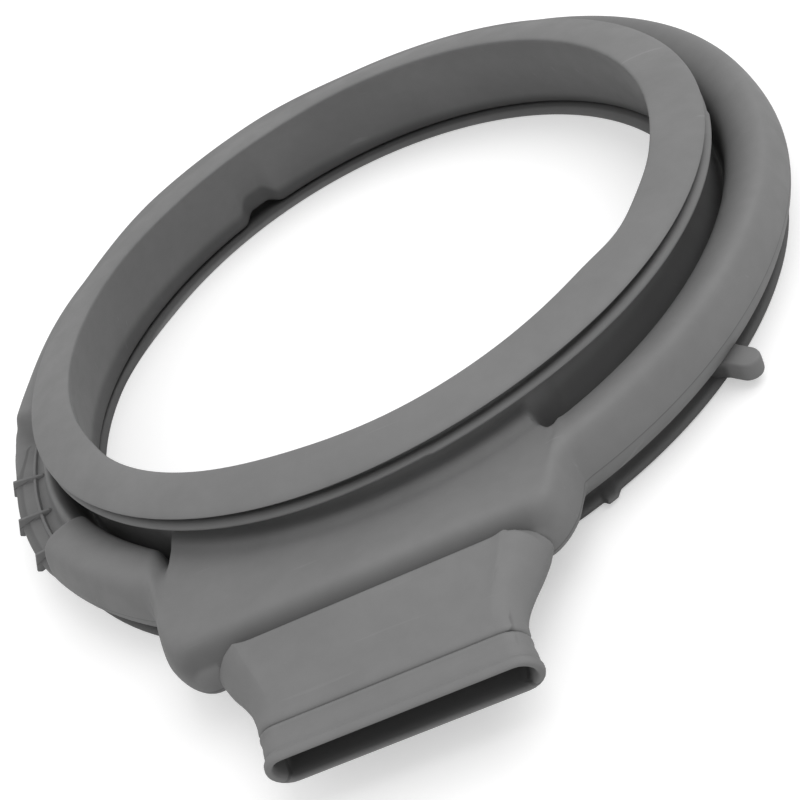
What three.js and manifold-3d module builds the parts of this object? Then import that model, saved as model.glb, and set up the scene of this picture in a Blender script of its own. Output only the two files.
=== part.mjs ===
// Door seal of a front-loading washer-dryer: one rubber moulding.
// A bellows ring joins the front lips to the rear plate, and a flat air duct leaves the ring
// through a box-shaped shoulder. Sizes are in millimetres. The ring's axis is +Z, the rear plate
// lies in the plane Z = 0 and the duct points along -Y.
import * as THREE from 'three';
import { mergeVertices } from 'three/addons/utils/BufferGeometryUtils.js';
import Module from 'manifold-3d';

// Front lips and the neck that carries them.
const mouth_radius = 147.8;
const lip_radius = 170.2;
const lip_height = 49.8;
const lip_crown = 2.7;
const lip_thickness = 1.4;
const second_lip_radius = 170.9;
const second_lip_height = 44.0;
const second_lip_thickness = 2.4;
const second_lip_step = 0.6;
const second_lip_step_from = 6.5;
const second_lip_step_to = 77.5;
const clamp_channel_depth = 9.4;

// The lips draw in a little above the duct.
const sag_angle = 13;
const sag_width = 27;
const lip_sag = 1.8;
const second_lip_sag = 2.6;
const neck_radius = 158.0;

// The soft lip isn't a true circle: angle, width and size of each wave in its inner edge. On the
// far side it lies flatter and reaches out further.
const mouth_waves = [[-37, 15, 1.9], [-10, 10, -1.1], [47, 8, 3.0], [61, 9, 1.2]];
const far_lip_angle = -153;
const far_lip_half = 24;
const far_lip_blend = 12;
const far_lip_rise = 1.2;
const far_lip_reach = 1.4;
const far_lip_flatness = 2.0;

// Bellows: skirt, groove and bulge.
const wall = 3.0;
const skirt_radius = 161.4;
const groove_floor = 10.4;
const groove_width = 8.5;
const ledge_height = 19.5;
const ledge_step = 4.6;
const bulge_inner_radius = 173.0;
const bulge_inner_drop = 7.4;
const bulge_inner_reach = 3.2;
const inner_reach_from = -100;
const inner_reach_to = -28;
const inner_reach_blend = 14;
const bulge_radius = 197.6;
const bulge_ease = 4.0;
const ease_from = -108;
const ease_to = -86;
const ease_blend = 12;
const bulge_crest = 38.4;
const parting_height = 23.0;
const band_low = 11.0;

// Rear plate, its rim and the groove for the tub clamp.
const clamp_groove_radius = 186.4;
const rim_overhang = 6.4;
const rim_radius = clamp_groove_radius + rim_overhang;
const rim_slack = 1.0;
const rim_slack_from = -115;
const rim_slack_to = -28;
const plate_thickness = 3.2;
const rear_bore_radius = 155.6;
const rear_bore_slack = 5.0;
const slack_from = -116;
const slack_to = -52;
const slack_blend = 13;
const rear_band_width = 8.0;
const rear_band_height = 4.6;
const fold_gap = 0.8;

// Shoulder, the box that carries the duct: x of its two ends and the distances along -Y.
const shoulder_left = -102.5;
const shoulder_right = 66;
const shoulder_front = 211;
const shoulder_top = 40.5;
const shoulder_floor = 33.0;
const shoulder_underside = 14.6;
const end_blend = 3.0;
const end_ratio = 0.7;
const end_slant = 7.0;
const corner_left = [24, 36];
const corner_right = [20, 28];
const corner_power = 1.6;
const ridge_setback = 10.5;
const valley_depth = 1.6;
const valley_reach = 1.6;
const valley_left = -86;
const valley_right = 46;
const valley_blend = 9;

// Air duct: neck, cuff and mouth.
const duct_x_base = -13.4;
const duct_x_mouth = -11.2;
const duct_height = 24.8;
const duct_reach = 256.4;
const cuff_length = 12.6;
const mouth_half_width = 44.0;
const mouth_half_height = 5.6;
const cuff_wall = 1.0;
const cuff_end_wall = 2.3;
const cuff_step = 0.4;
const bead = 0.4;
const neck_base_half_width = 62.8;
const neck_base_half_height = 11.8;
const neck_flank = 9.5;
const neck_flank_power = 1.6;
const neck_waist_reach = 237;
const neck_flare = 1.3;

// Pocket in the bulge on the left, with its ribs. Angles in degrees from -Y, positive to +X.
const pocket_from = -87.5;
const pocket_to = -55.5;
const pocket_blend = 1.6;
const pocket_floor = 19.8;
const pocket_inner_radius = 181.2;
const brim_from = -95;
const brim_to = -86;
const edge_rise = 2.6;
const edge_reach = 0.9;
const edge_from = -80;
const edge_to = -86;
const tongue_radius = 176.8;
const tongue_top = 29.6;
const long_rib_radius = 188.4;
const long_rib_top = 22.8;
const rib_thickness = 1.6;
const cross_rib_first = -78.4;
const cross_rib_pitch = 9.6;
const cross_rib_count = 3;
const cross_rib_inset = 5.9;
const cross_rib_overhang = 4.4;
const cross_rib_crest = 26.8;
const cross_rib_low = 19.7;

// Drain notch in the skirt, handling nub and locating tooth on the rear rim.
const notch_angle = -157.3;
const notch_half_angle = 3.4;
const notch_lift = 4.4;
const notch_dent = 2.6;
const nub_angle = 41.4;
const nub_reach = 205.5;
const nub_half_width = 5.2;
const nub_half_height = 4.0;
const nub_height = 7.6;
const tooth_angle = 21.6;
const tooth_half_angle = 0.9;
const tooth_size = 3.0;

// The soft bellows lean a little against the lips: sideways shift of the rear, and rise of the
// bulge per millimetre towards the left and towards the side opposite the duct.
const rear_shift = [-1.0, -0.2];
const bulge_lean = [-0.005, 0.011];

// Edges shorter than this are merged in the finished mesh.
const merge_size = 0.02;

const wasm = await Module();
wasm.setup();

const rad = (degrees) => (degrees * Math.PI) / 180;
const mix = (a, b, share) => a + (b - a) * share;
const smooth = (from, to, value) => {
  const share = Math.min(1, Math.max(0, (value - from) / (to - from)));
  return share * share * (3 - 2 * share);
};
const windowOf = (from, to, blend, value) =>
  smooth(from - blend, from + blend, value) * (1 - smooth(to - blend, to + blend, value));

// A column is a line in plan: it starts on the base circle at the angle psi and runs outwards in
// the direction alpha. Columns are radial round the ring and parallel to the duct in the shoulder.
const base_radius = 175;
const fan_angle = 26;
const psiOfX = (x) => (Math.asin(x / base_radius) * 180) / Math.PI;
const psi_left = psiOfX(shoulder_left - end_blend);
const psi_right = psiOfX(shoulder_right + end_blend);

function column(psi) {
  const fan = psi < 0 ? smooth(-psi_left, -psi_left + fan_angle, -psi)
    : smooth(psi_right, psi_right + fan_angle, psi);
  const alpha = rad(psi * fan);
  const start = [base_radius * Math.sin(rad(psi)), -base_radius * Math.cos(rad(psi))];
  const along = start[0] * Math.sin(alpha) - start[1] * Math.cos(alpha);
  const at = (reach) => [start[0] + reach * Math.sin(alpha), start[1] - reach * Math.cos(alpha)];
  const toRadius = (radius) => -along + Math.sqrt(along ** 2 - base_radius ** 2 + radius ** 2);
  const toFront = (distance) => (distance + start[1]) / Math.cos(alpha);
  const angleAt = (radius) => {
    const [x, y] = at(toRadius(radius));
    return (Math.atan2(x, -y) * 180) / Math.PI;
  };
  return { x: start[0], at, toRadius, toFront, angleAt };
}

// Plan outline of the shoulder's front face: straight, with an elliptic corner at each end.
function frontDistance(x) {
  const fromLeft = shoulder_left + corner_left[0] - x;
  const fromRight = x - (shoulder_right - corner_right[0]);
  const [over, size] = fromLeft > fromRight ? [fromLeft, corner_left] : [fromRight, corner_right];
  const share = Math.min(0.97, Math.max(0, over) / size[0]);
  return shoulder_front - size[1] * (1 - (1 - share ** corner_power) ** (1 / corner_power));
}

// Control points of the section at one column, as reach along the column and height.
function sectionControls(col) {
  const ring = (radius, height) => [col.toRadius(radius), height];
  const lip_angle = col.angleAt(lip_radius);
  const rim_angle = col.angleAt(rim_radius);
  const near = Math.abs(rim_angle) < 90 ? 1 : 0;
  const wave = mouth_waves.reduce((sum, [angle, width, size]) =>
    sum + size * Math.exp(-(((lip_angle - angle) / width) ** 2)), 0);
  const mouth_r = mouth_radius + wave;
  const far = ((lip_angle - far_lip_angle + 540) % 360) - 180;
  const far_lip = windowOf(-far_lip_half, far_lip_half, far_lip_blend, far);
  const sag = Math.exp(-(((lip_angle - sag_angle) / sag_width) ** 2));
  const lip_r = lip_radius + far_lip_reach * far_lip - lip_sag * sag;
  const lip_z = lip_height + far_lip_rise * far_lip;
  const crown = lip_crown - far_lip_flatness * far_lip;
  const edge = smooth(-edge_from, -edge_to, -col.angleAt(long_rib_radius));
  const shoulder = (inset, soft = 0, right = inset * end_ratio) =>
    near * windowOf(shoulder_left + inset, shoulder_right - right, end_blend + soft, col.x);
  const bulge_r = bulge_radius - bulge_ease * windowOf(ease_from, ease_to, ease_blend, lip_angle);
  const reach = bulge_inner_reach *
    windowOf(inner_reach_from, inner_reach_to, inner_reach_blend, col.angleAt(bulge_inner_radius));
  const bulge_in = bulge_inner_radius - reach;
  const inner_drop = bulge_inner_drop - reach * 0.35;
  const slack = rear_bore_slack * windowOf(slack_from, slack_to, slack_blend, lip_angle);
  const boxed = (weight, a, b) => [mix(a[0], b[0], weight), mix(a[1], b[1], weight)];
  const pOut = windowOf(pocket_from, pocket_to, pocket_blend, col.angleAt(long_rib_radius));
  const step = second_lip_step * windowOf(second_lip_step_from, second_lip_step_to, 0.6, lip_angle);
  const off = ((lip_angle - notch_angle + 540) % 360) - 180;
  const nIn = windowOf(-notch_half_angle, notch_half_angle, notch_half_angle * 0.5, off);
  const nOut = windowOf(-notch_half_angle - 1, notch_half_angle + 1, notch_half_angle * 0.5, off);
  const rim_r = rim_radius + rim_slack * windowOf(rim_slack_from, rim_slack_to, slack_blend, rim_angle);
  const tooth = tooth_size * windowOf(-tooth_half_angle, tooth_half_angle, 0.4, rim_angle - tooth_angle);
  const front = frontDistance(col.x);
  const valley = windowOf(valley_left, valley_right, valley_blend, col.x);
  const slope_back = ridge_setback * 0.42 + valley_reach * valley;
  const slope_top = shoulder_top - 2.2 - valley_depth * valley;
  const face = (back, height) => [col.toFront(front - back), height];

  // The shoulder's top face runs straight from the groove to the ridge.
  const inner = ring(neck_radius + 6.5, shoulder_floor + 1.0);
  const ridge = face(ridge_setback, shoulder_top);
  const top = (share, drop = 0) => [mix(inner[0], ridge[0], share), mix(inner[1], ridge[1], share) - drop];
  const out = (a, b, inset = 0, soft = 0, right = inset * end_ratio) =>
    boxed(shoulder(inset, soft, right), a, b);
  const inn = (a, b, inset = 0, soft = 0, right = inset * end_ratio) =>
    boxed(shoulder(inset + wall, soft, right + wall), a, b);
  const pocket = (a, b) => boxed(pOut, a, b);
  const brim_angle = col.angleAt(bulge_radius);
  const brim = (a, b) => boxed(smooth(brim_from, brim_to, brim_angle) *
    (1 - smooth(pocket_to - pocket_blend, pocket_to + pocket_blend, brim_angle)), a, b);

  const lip_tip = lip_z + crown;
  const lip2_r = second_lip_radius + step - second_lip_sag * sag;
  const lip2_low = second_lip_height - second_lip_thickness;
  const channel_r = lip_radius - clamp_channel_depth - lip_sag * sag * 0.5;
  const fold_low = groove_floor - wall;
  const ceil = bulge_crest - wall;
  const floor_in = skirt_radius + wall + 2.4;
  const floor_out = floor_in + groove_width * 0.45;
  const rear_in = rear_bore_radius + rear_band_width;
  const chamber_r = clamp_groove_radius - wall;
  const lift = notch_lift * nIn;
  const lift_out = notch_lift * nOut;

  return [
    // Front lip, clamp channel and second lip.
    ring(mouth_r + 1.2, lip_height - 2.0),
    ring(mouth_r - 0.7, lip_tip - 0.5),
    ring(mouth_r + 0.9, lip_tip + 0.5),
    ring(mouth_radius + 11.6, lip_tip + 0.2),
    ring(lip_r - 2.4, lip_z + 0.6),
    ring(lip_r + 0.4, lip_z),
    ring(lip_r - 1.8, lip_z - lip_thickness),
    ring(channel_r, lip_height - lip_thickness - 1.2),
    ring(channel_r + 2.2, second_lip_height - 1.6),
    ring(lip2_r - 3.8, second_lip_height + 1.3),
    ring(lip2_r + 0.5, second_lip_height - 0.4),
    ring(lip2_r - 2.8, lip2_low),
    ring(neck_radius + 1, lip2_low - 1.4),
    // Neck, groove and bulge.
    out(ring(neck_radius - 0.2, lip2_low - 4.6), ring(neck_radius, lip2_low - 3.0)),
    out(ring(neck_radius + 2.0, ledge_height + 9.5), ring(neck_radius + 1.4, shoulder_floor + 1.2)),
    out(ring(floor_in - 0.8 + ledge_step - 4, ledge_height), inner, end_slant * 1.08, 0, 8),
    out(ring(floor_in + 0.8, groove_floor + lift_out), top(0.12), end_slant, 0, 7),
    out(ring(floor_out, groove_floor - 0.4 + lift_out), top(0.24), end_slant * 0.96, 0.5, 4.5),
    out(ring(floor_out + 0.8, mix(groove_floor, bulge_crest, 0.45)), top(0.4), end_slant * 0.88, 1, 2),
    out(pocket(ring(bulge_in - 0.4, bulge_crest - inner_drop),
      ring(tongue_radius - 2.4, tongue_top - 0.8)), top(0.56), end_slant * 0.8, 1.5, 1),
    out(pocket(ring(bulge_in + 5.6, bulge_crest - inner_drop * 0.36),
      ring(tongue_radius, tongue_top)), top(0.74), end_slant * 0.8, 2, 3),
    out(pocket(ring(mix(bulge_in, bulge_r, 0.54), bulge_crest + 0.5),
      ring(tongue_radius + 2.6, tongue_top - 3)), ridge, end_slant * 0.9, 3, 6.3),
    out(pocket(ring(bulge_r - 5.4, bulge_crest), ring(pocket_inner_radius, pocket_floor + 0.4)),
      face(slope_back, slope_top), end_slant * 0.95, 3, 4.2),
    out(pocket(ring(bulge_r - 2.0, mix(parting_height, bulge_crest, 0.46)),
      ring(long_rib_radius - 0.6, pocket_floor + 0.2)),
      face(0.6, mix(parting_height, shoulder_top, 0.4)), end_slant * 0.5, 1, 1.7),
    out(brim(ring(bulge_r + 0.1, parting_height),
      ring(bulge_radius + 1.4 + edge_reach * edge, pocket_floor + 5.4 + edge_rise * edge)),
      face(-0.3, parting_height - 1.6)),
    out(brim(ring(bulge_r - 1.2, parting_height - 6), ring(bulge_radius - 0.8, parting_height - 6)),
      face(3.4, shoulder_underside + 3.2), 1.5, 0, 4),
    out(ring(bulge_r - 3.6, band_low - 0.2), face(9.0, shoulder_underside), 4, 2, 8),
    out(ring(mix(clamp_groove_radius, bulge_r, 0.5), band_low - 0.4),
      ring(mix(clamp_groove_radius, bulge_r, 0.4), shoulder_underside - 0.2), 5, 2, 9),
    out(ring(clamp_groove_radius + 0.2, band_low - 1.0),
      ring(clamp_groove_radius + 0.2, shoulder_underside - 0.8), 5, 2, 9),
    ring(clamp_groove_radius, plate_thickness + 1.2),
    ring(rim_r - 1.4 + tooth, plate_thickness + 1.2),
    ring(rim_r + 0.4 + tooth, plate_thickness * 0.55),
    ring(rim_r - 2.4, 0),
    // Rear face and the band round the rear bore.
    ring(rim_radius - 7, 0),
    ring(rear_bore_radius + 5 + slack * 0.6, 0),
    ring(rear_bore_radius - 0.2 + slack, 0.1),
    ring(mix(rear_bore_radius + slack, rear_in, 0.42), rear_band_height * 0.5),
    ring(rear_in, rear_band_height - 0.1),
    ring(rear_in + 4.4, plate_thickness),
    // Chamber inside the bulge.
    ring(chamber_r - 2.6, plate_thickness),
    ring(chamber_r, plate_thickness + 1.8),
    inn(ring(chamber_r, band_low + wall * 0.55),
      ring(chamber_r + 0.4, shoulder_underside + wall * 0.8), 5, 2, 9),
    inn(ring(bulge_r - 3.6 - wall, band_low + wall + 0.2),
      face(9.0 + wall, shoulder_underside + wall + 0.4), 4, 2, 8),
    inn(pocket(ring(bulge_r - 1.2 - wall, parting_height - 5), ring(bulge_radius - 5.2, band_low + 4.0)),
      face(wall + 3.0, shoulder_underside + 5.6), 2, 0, 4),
    inn(pocket(ring(bulge_r - wall - 0.3, parting_height + 1),
      ring(bulge_radius - 5.8, pocket_floor - wall - 0.4)), face(wall + 0.4, parting_height + 5), 2),
    inn(pocket(ring(bulge_r - 6.0, ceil - 2.2), ring(long_rib_radius - 0.8, pocket_floor - wall)),
      face(slope_back + wall * 1.1 + 0.5 * valley, slope_top - 2.8 - wall * valley),
      end_slant * 0.95, 3, 4.2),
    inn(pocket(ring(mix(bulge_in, bulge_r, 0.54), ceil + 0.2),
      ring(pocket_inner_radius + 2.4, pocket_floor - wall - 0.4)),
      face(ridge_setback + 2.0, shoulder_top - wall - 0.4), end_slant * 1.2, 3, 6.3),
    inn(pocket(ring(bulge_in + wall * 1.5, bulge_crest - inner_drop - 1),
      ring(tongue_radius + wall, pocket_floor - wall - 1)),
      top(0.56, wall), end_slant * 0.93, 1, 3),
    inn(ring(floor_out + 0.8 + wall, mix(groove_floor, bulge_crest, 0.38) - pOut * 5),
      top(0.2, wall + 0.2), end_slant * 0.9, 0, 4),
    // Underside of the fold and the skirt.
    inn(ring(floor_out + wall + 0.8, fold_low + 1.8 + lift),
      ring(neck_radius + 4.6, shoulder_floor - wall + 0.4), end_slant, 0, 6),
    inn(ring(mix(skirt_radius, floor_out, 0.75), fold_low - 0.2 + lift),
      ring(neck_radius + 1.6, shoulder_floor - wall - 0.6), end_slant, 0, 8),
    inn(ring(skirt_radius + 3.2 + notch_dent * nIn, rear_band_height + fold_gap + lift),
      ring(neck_radius, shoulder_floor - wall - 0.6), end_slant, 0, 9),
    inn(ring(skirt_radius + notch_dent * nIn, rear_band_height + fold_gap - 0.2 + lift),
      ring(neck_radius - 1.8, shoulder_floor - wall - 0.4), end_slant, 0, 9),
    inn(ring(skirt_radius - 0.4 + notch_dent * nIn, rear_band_height + 4.2 + lift * 0.9),
      ring(neck_radius - 3.0, shoulder_floor - wall + 1.4), end_slant, 0, 9),
    ring(mix(mouth_radius, skirt_radius, 0.22), lip_height - 8),
  ];
}

// The rear of the ring sits a little to one side of the lips, and the bulge a little higher there.
function leaned(x, y, z) {
  const behind = 1 - smooth(second_lip_height - 10, second_lip_height + 1, z);
  const risen = smooth(groove_floor, parting_height, z) *
    smooth(neck_radius + 8, bulge_inner_radius, Math.hypot(x, y));
  const rise = (bulge_lean[0] * x + bulge_lean[1] * y) * risen;
  return [x + rear_shift[0] * behind, y + rear_shift[1] * behind, z + rise];
}

// One smoothed point per control point, so the section is a rounded rubber profile.
function sectionPoints(col) {
  const controls = sectionControls(col);
  const count = controls.length;
  return controls.map((here, i) => {
    const before = controls[(i + count - 1) % count];
    const after = controls[(i + 1) % count];
    const reach = (before[0] + 4 * here[0] + after[0]) / 6;
    const height = (before[1] + 4 * here[1] + after[1]) / 6;
    return leaned(...col.at(reach), height);
  });
}

// Angles of the columns, close together where the shape changes.
function columnAngles() {
  const shares = [-1, -0.45, 0, 0.45, 1, 1.6, 2.3, 3.1, 4.2, 5.6, 8, 12, 18, 26];
  const xs = shares.map((share) => shoulder_left + share * end_blend);
  const right_shares = [-13, -8, -5, -3.2, -2, -1, -0.45, 0, 0.45, 1];
  const right = right_shares.map((share) => shoulder_right + share * end_blend);
  const middle_count = 3;
  const gap = right[0] - xs[xs.length - 1];
  for (let i = 1; i <= middle_count; i += 1) {
    xs.push(shoulder_left + 26 * end_blend + (gap * i) / (middle_count + 1));
  }
  const angles = [...xs, ...right].map(psiOfX);
  const marks = (centre, offsets) => offsets.map((offset) => centre + offset);
  const ringMarks = [
    ...marks(tooth_angle, [3.8, 5.4]),
    ...marks(pocket_from, [-6, -2.4, -0.8, 0.8, 2.4, 6]),
    ...marks(pocket_to, [-6, -2.4, -0.8, 0.8, 2.4, 6]),
    ...marks(notch_angle, [-9, -7, -5.5, -4, -2.4, 0, 2.4, 4, 5.5, 7, 9]),
    ...marks(second_lip_step_to, [-1.6, 1.6]),
  ];
  for (const angle of ringMarks) {
    if (angle > psi_right + 0.6 || angle < psi_left - 0.6) angles.push(angle);
  }
  const pitch = 5.6;
  const free = 2.6;
  for (let angle = psi_right + pitch; angle < 360 + psi_left - free; angle += pitch) {
    const wrapped = angle > 180 ? angle - 360 : angle;
    const alone = angles.every((other) => Math.abs(((other - wrapped + 540) % 360) - 180) > free);
    if (alone) angles.push(wrapped);
  }
  return angles.sort((a, b) => a - b);
}

function geometryOf(points, triangles) {
  const geometry = new THREE.BufferGeometry();
  geometry.setAttribute('position', new THREE.Float32BufferAttribute(points.flat(), 3));
  geometry.setIndex(triangles.flat());
  return geometry;
}

// A closed ring of sections, each with the same number of points.
function ringGeometry() {
  const sections = columnAngles().map((psi) => sectionPoints(column(psi)));
  const count = sections[0].length;
  const triangles = [];
  for (let i = 0; i < sections.length; i += 1) {
    const next = ((i + 1) % sections.length) * count;
    for (let k = 0; k < count; k += 1) {
      const a = i * count + k;
      const b = i * count + ((k + 1) % count);
      const c = next + ((k + 1) % count);
      const d = next + k;
      triangles.push([a, b, c], [a, c, d]);
    }
  }
  return geometryOf(sections.flat(), triangles);
}

// A flat section of the duct at one distance, as a loop of points. Its two sides are half
// superellipses: power 1 is round, a higher power is a slanting flank with a crisp edge on top.
function ductLoop(distance, halfWidth, halfHeight, side, power = 1) {
  const steps = 10;
  const centre = mix(duct_x_base, duct_x_mouth, smooth(neck_waist_reach, duct_reach, distance));
  const loop = [];
  for (const turn of [0, 1]) {
    const sign = turn ? -1 : 1;
    for (let i = 0; i <= steps; i += 1) {
      const angle = (Math.PI * i) / steps - Math.PI / 2;
      const over = Math.abs(Math.cos(angle)) ** power;
      const up = Math.sign(Math.sin(angle)) * Math.abs(Math.sin(angle)) ** power;
      const x = centre + sign * (halfWidth - side + side * over);
      loop.push([x, -distance, duct_height + sign * halfHeight * up]);
    }
  }
  return loop;
}

// A closed solid through a row of loops, capped at both ends.
function loftGeometry(loops) {
  const count = loops[0].length;
  const triangles = [];
  for (let i = 0; i + 1 < loops.length; i += 1) {
    for (let k = 0; k < count; k += 1) {
      const a = i * count + k;
      const b = i * count + ((k + 1) % count);
      triangles.push([a, b, b + count], [a, b + count, a + count]);
    }
  }
  const last = (loops.length - 1) * count;
  for (let k = 1; k + 1 < count; k += 1) {
    triangles.push([0, k + 1, k], [last, last + k, last + k + 1]);
  }
  return geometryOf(loops.flat(), triangles);
}

// Outer shape of the duct, from inside the shoulder to the mouth.
function ductOutside() {
  const cuff_w = mouth_half_width + cuff_end_wall;
  const cuff_h = mouth_half_height + cuff_wall;
  const waist_w = cuff_w - cuff_step;
  const waist_h = cuff_h - cuff_step * 0.4;
  const collar = duct_reach - cuff_length;
  const neck = (share) => {
    const distance = mix(shoulder_front - 1, neck_waist_reach, share);
    const width = mix(waist_w, neck_base_half_width, (1 - share) ** neck_flare);
    return ductLoop(distance, width, mix(neck_base_half_height, waist_h, share),
      mix(neck_flank, cuff_h, share), mix(neck_flank_power, 1.1, share));
  };
  return loftGeometry([
    ductLoop(shoulder_front - 2.4 * wall, neck_base_half_width - wall,
      neck_base_half_height - 1.8 * wall, neck_flank, neck_flank_power),
    ...[0, 0.2, 0.4, 0.6, 0.8, 1].map(neck),
    ductLoop(collar - 0.4, waist_w, waist_h, cuff_h),
    ductLoop(collar + 0.2, cuff_w, cuff_h, cuff_h),
    ductLoop(duct_reach - 4.4, cuff_w, cuff_h, cuff_h),
    ductLoop(duct_reach - 3.2, cuff_w + bead, cuff_h + bead, cuff_h),
    ductLoop(duct_reach - 1.6, cuff_w + bead, cuff_h + bead, cuff_h),
    ductLoop(duct_reach, cuff_w - 0.4, cuff_h - 0.4, cuff_h),
  ]);
}

// The air passage, from in front of the mouth into the chamber of the shoulder.
function ductPassage() {
  const base_w = neck_base_half_width - wall;
  const base_h = neck_base_half_height - 2 * wall;
  const collar = duct_reach - cuff_length;
  const inner = (share) => {
    const width = mix(mouth_half_width, base_w, (1 - share) ** neck_flare);
    const height = mix(base_h, mouth_half_height, share);
    return ductLoop(mix(shoulder_front - 1, neck_waist_reach, share), width, height, height, 1.1);
  };
  return loftGeometry([
    ductLoop(shoulder_front - 13, base_w, base_h, base_h, 1.1),
    ...[0, 0.3, 0.65, 1].map(inner),
    ductLoop(collar, mouth_half_width, mouth_half_height, mouth_half_height),
    ductLoop(duct_reach + 2, mouth_half_width, mouth_half_height, mouth_half_height),
  ]);
}

// The long rib in the pocket, a thin arc about the ring's axis.
function longRib() {
  const shape = new THREE.Shape();
  const from = rad(pocket_from - 90);
  const to = rad(pocket_to - 90);
  shape.absarc(0, 0, long_rib_radius + rib_thickness / 2, from, to, false);
  shape.absarc(0, 0, long_rib_radius - rib_thickness / 2, to, from, true);
  shape.closePath();
  const foot = pocket_floor - wall * 0.6;
  const options = { depth: long_rib_top - foot, bevelEnabled: false, curveSegments: 14 };
  return new THREE.ExtrudeGeometry(shape, options).translate(0, 0, foot);
}

// One cross rib, a thin plate in a radial plane with a sloping outer end.
function crossRib(index) {
  const shape = new THREE.Shape();
  const inside = long_rib_radius - cross_rib_inset;
  const outside = bulge_radius + cross_rib_overhang;
  shape.moveTo(inside, pocket_floor - wall * 0.5);
  shape.lineTo(bulge_radius - wall * 0.6, cross_rib_low - wall * 0.6);
  shape.lineTo(outside - 1.4, cross_rib_low - 1.5);
  shape.lineTo(outside, cross_rib_low);
  shape.lineTo(bulge_radius, cross_rib_crest);
  shape.lineTo(long_rib_radius, long_rib_top + 0.8);
  shape.lineTo(inside + 1.4, long_rib_top - 0.6);
  shape.closePath();
  const options = { depth: rib_thickness, bevelEnabled: false };
  const angle = cross_rib_first + index * cross_rib_pitch;
  return new THREE.ExtrudeGeometry(shape, options).translate(0, 0, -rib_thickness / 2)
    .rotateX(Math.PI / 2).rotateZ(rad(angle - 90));
}

// The nub that the hand pulls when the seal is fitted.
function nub() {
  const shape = new THREE.Shape();
  const root = clamp_groove_radius - wall * 0.5;
  const half = nub_half_width;
  shape.moveTo(root, -half * 1.5);
  shape.lineTo(rim_radius + 2, -half);
  shape.lineTo(nub_reach - half, -half);
  shape.absarc(nub_reach - half, 0, half, -Math.PI / 2, Math.PI / 2, false);
  shape.lineTo(rim_radius + 2, half);
  shape.lineTo(root, half * 1.5);
  shape.closePath();
  const depth = 2 * nub_half_height;
  const options = { depth, bevelEnabled: false, curveSegments: 5 };
  return new THREE.ExtrudeGeometry(shape, options).translate(0, 0, nub_height - nub_half_height)
    .rotateZ(rad(nub_angle - 90));
}

function solid(geometry) {
  const bare = geometry.clone();
  bare.deleteAttribute('normal');
  bare.deleteAttribute('uv');
  const merged = mergeVertices(bare, 1e-4);
  return new wasm.Manifold(new wasm.Mesh({
    numProp: 3,
    vertProperties: new Float32Array(merged.attributes.position.array),
    triVerts: new Uint32Array(merged.index.array),
  }));
}

function meshGeometry(manifold) {
  const mesh = manifold.getMesh();
  const geometry = new THREE.BufferGeometry();
  geometry.setAttribute('position', new THREE.BufferAttribute(mesh.vertProperties, 3));
  geometry.setIndex(new THREE.BufferAttribute(mesh.triVerts, 1));
  geometry.computeVertexNormals();
  return geometry;
}

function sealGeometry() {
  let seal = solid(ringGeometry()).add(solid(ductOutside())).subtract(solid(ductPassage()));
  seal = seal.add(solid(longRib())).add(solid(nub()));
  for (let index = 0; index < cross_rib_count; index += 1) {
    seal = seal.add(solid(crossRib(index)));
  }
  return meshGeometry(seal.simplify(merge_size));
}

const rubber = new THREE.MeshStandardMaterial({ color: 0x6e6e6e, roughness: 0.55, metalness: 0 });
const seal = new THREE.Mesh(sealGeometry(), rubber);
seal.name = 'door_seal';

const model = new THREE.Group();
model.add(seal);
export default model;
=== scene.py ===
# %% [markdown]
# A rubber door seal for a washing machine.
# The real part is one soft moulding: a bellows ring with two lips at the front, a deep groove and a
# round bulge behind them, a flat rear plate, and a flat air duct that leaves through a box-shaped
# shoulder. It could be pulled into shape from a torus by hand. Here one closed section is carried
# round the ring and changes on its way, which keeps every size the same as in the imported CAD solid.

# %% Load the frame
import math

import bmesh
import bpy
import numpy as np
from mathutils import Matrix, Quaternion, Vector


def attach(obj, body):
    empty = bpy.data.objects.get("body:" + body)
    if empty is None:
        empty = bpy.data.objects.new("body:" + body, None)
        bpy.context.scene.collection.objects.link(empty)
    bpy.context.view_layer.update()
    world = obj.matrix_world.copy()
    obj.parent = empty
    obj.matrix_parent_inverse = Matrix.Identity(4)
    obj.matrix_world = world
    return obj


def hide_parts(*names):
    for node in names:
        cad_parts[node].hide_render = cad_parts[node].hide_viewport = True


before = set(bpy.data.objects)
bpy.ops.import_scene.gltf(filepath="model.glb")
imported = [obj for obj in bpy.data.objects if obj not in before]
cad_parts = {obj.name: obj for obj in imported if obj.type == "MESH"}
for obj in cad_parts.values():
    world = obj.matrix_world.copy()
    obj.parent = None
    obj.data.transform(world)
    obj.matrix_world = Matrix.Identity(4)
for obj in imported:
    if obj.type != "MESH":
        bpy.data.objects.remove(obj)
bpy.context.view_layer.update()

# %% [markdown]
# The glass of the door presses on the front lip, and a thinner lip lies behind it across a shallow
# channel. Their sizes come first. Lengths are in millimetres and angles in degrees, counted from the
# duct towards the right. Rubber never lies quite round, so the mouth gets a few gentle waves.

# %% Sizes of the lips
LIP_RADIUS = 170.2
LIP_HEIGHT = 49.8
LIP_CROWN = 2.7
LIP_THICK = 1.4
LIP_SAG = 1.8
MOUTH_RADIUS = 147.8
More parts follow.
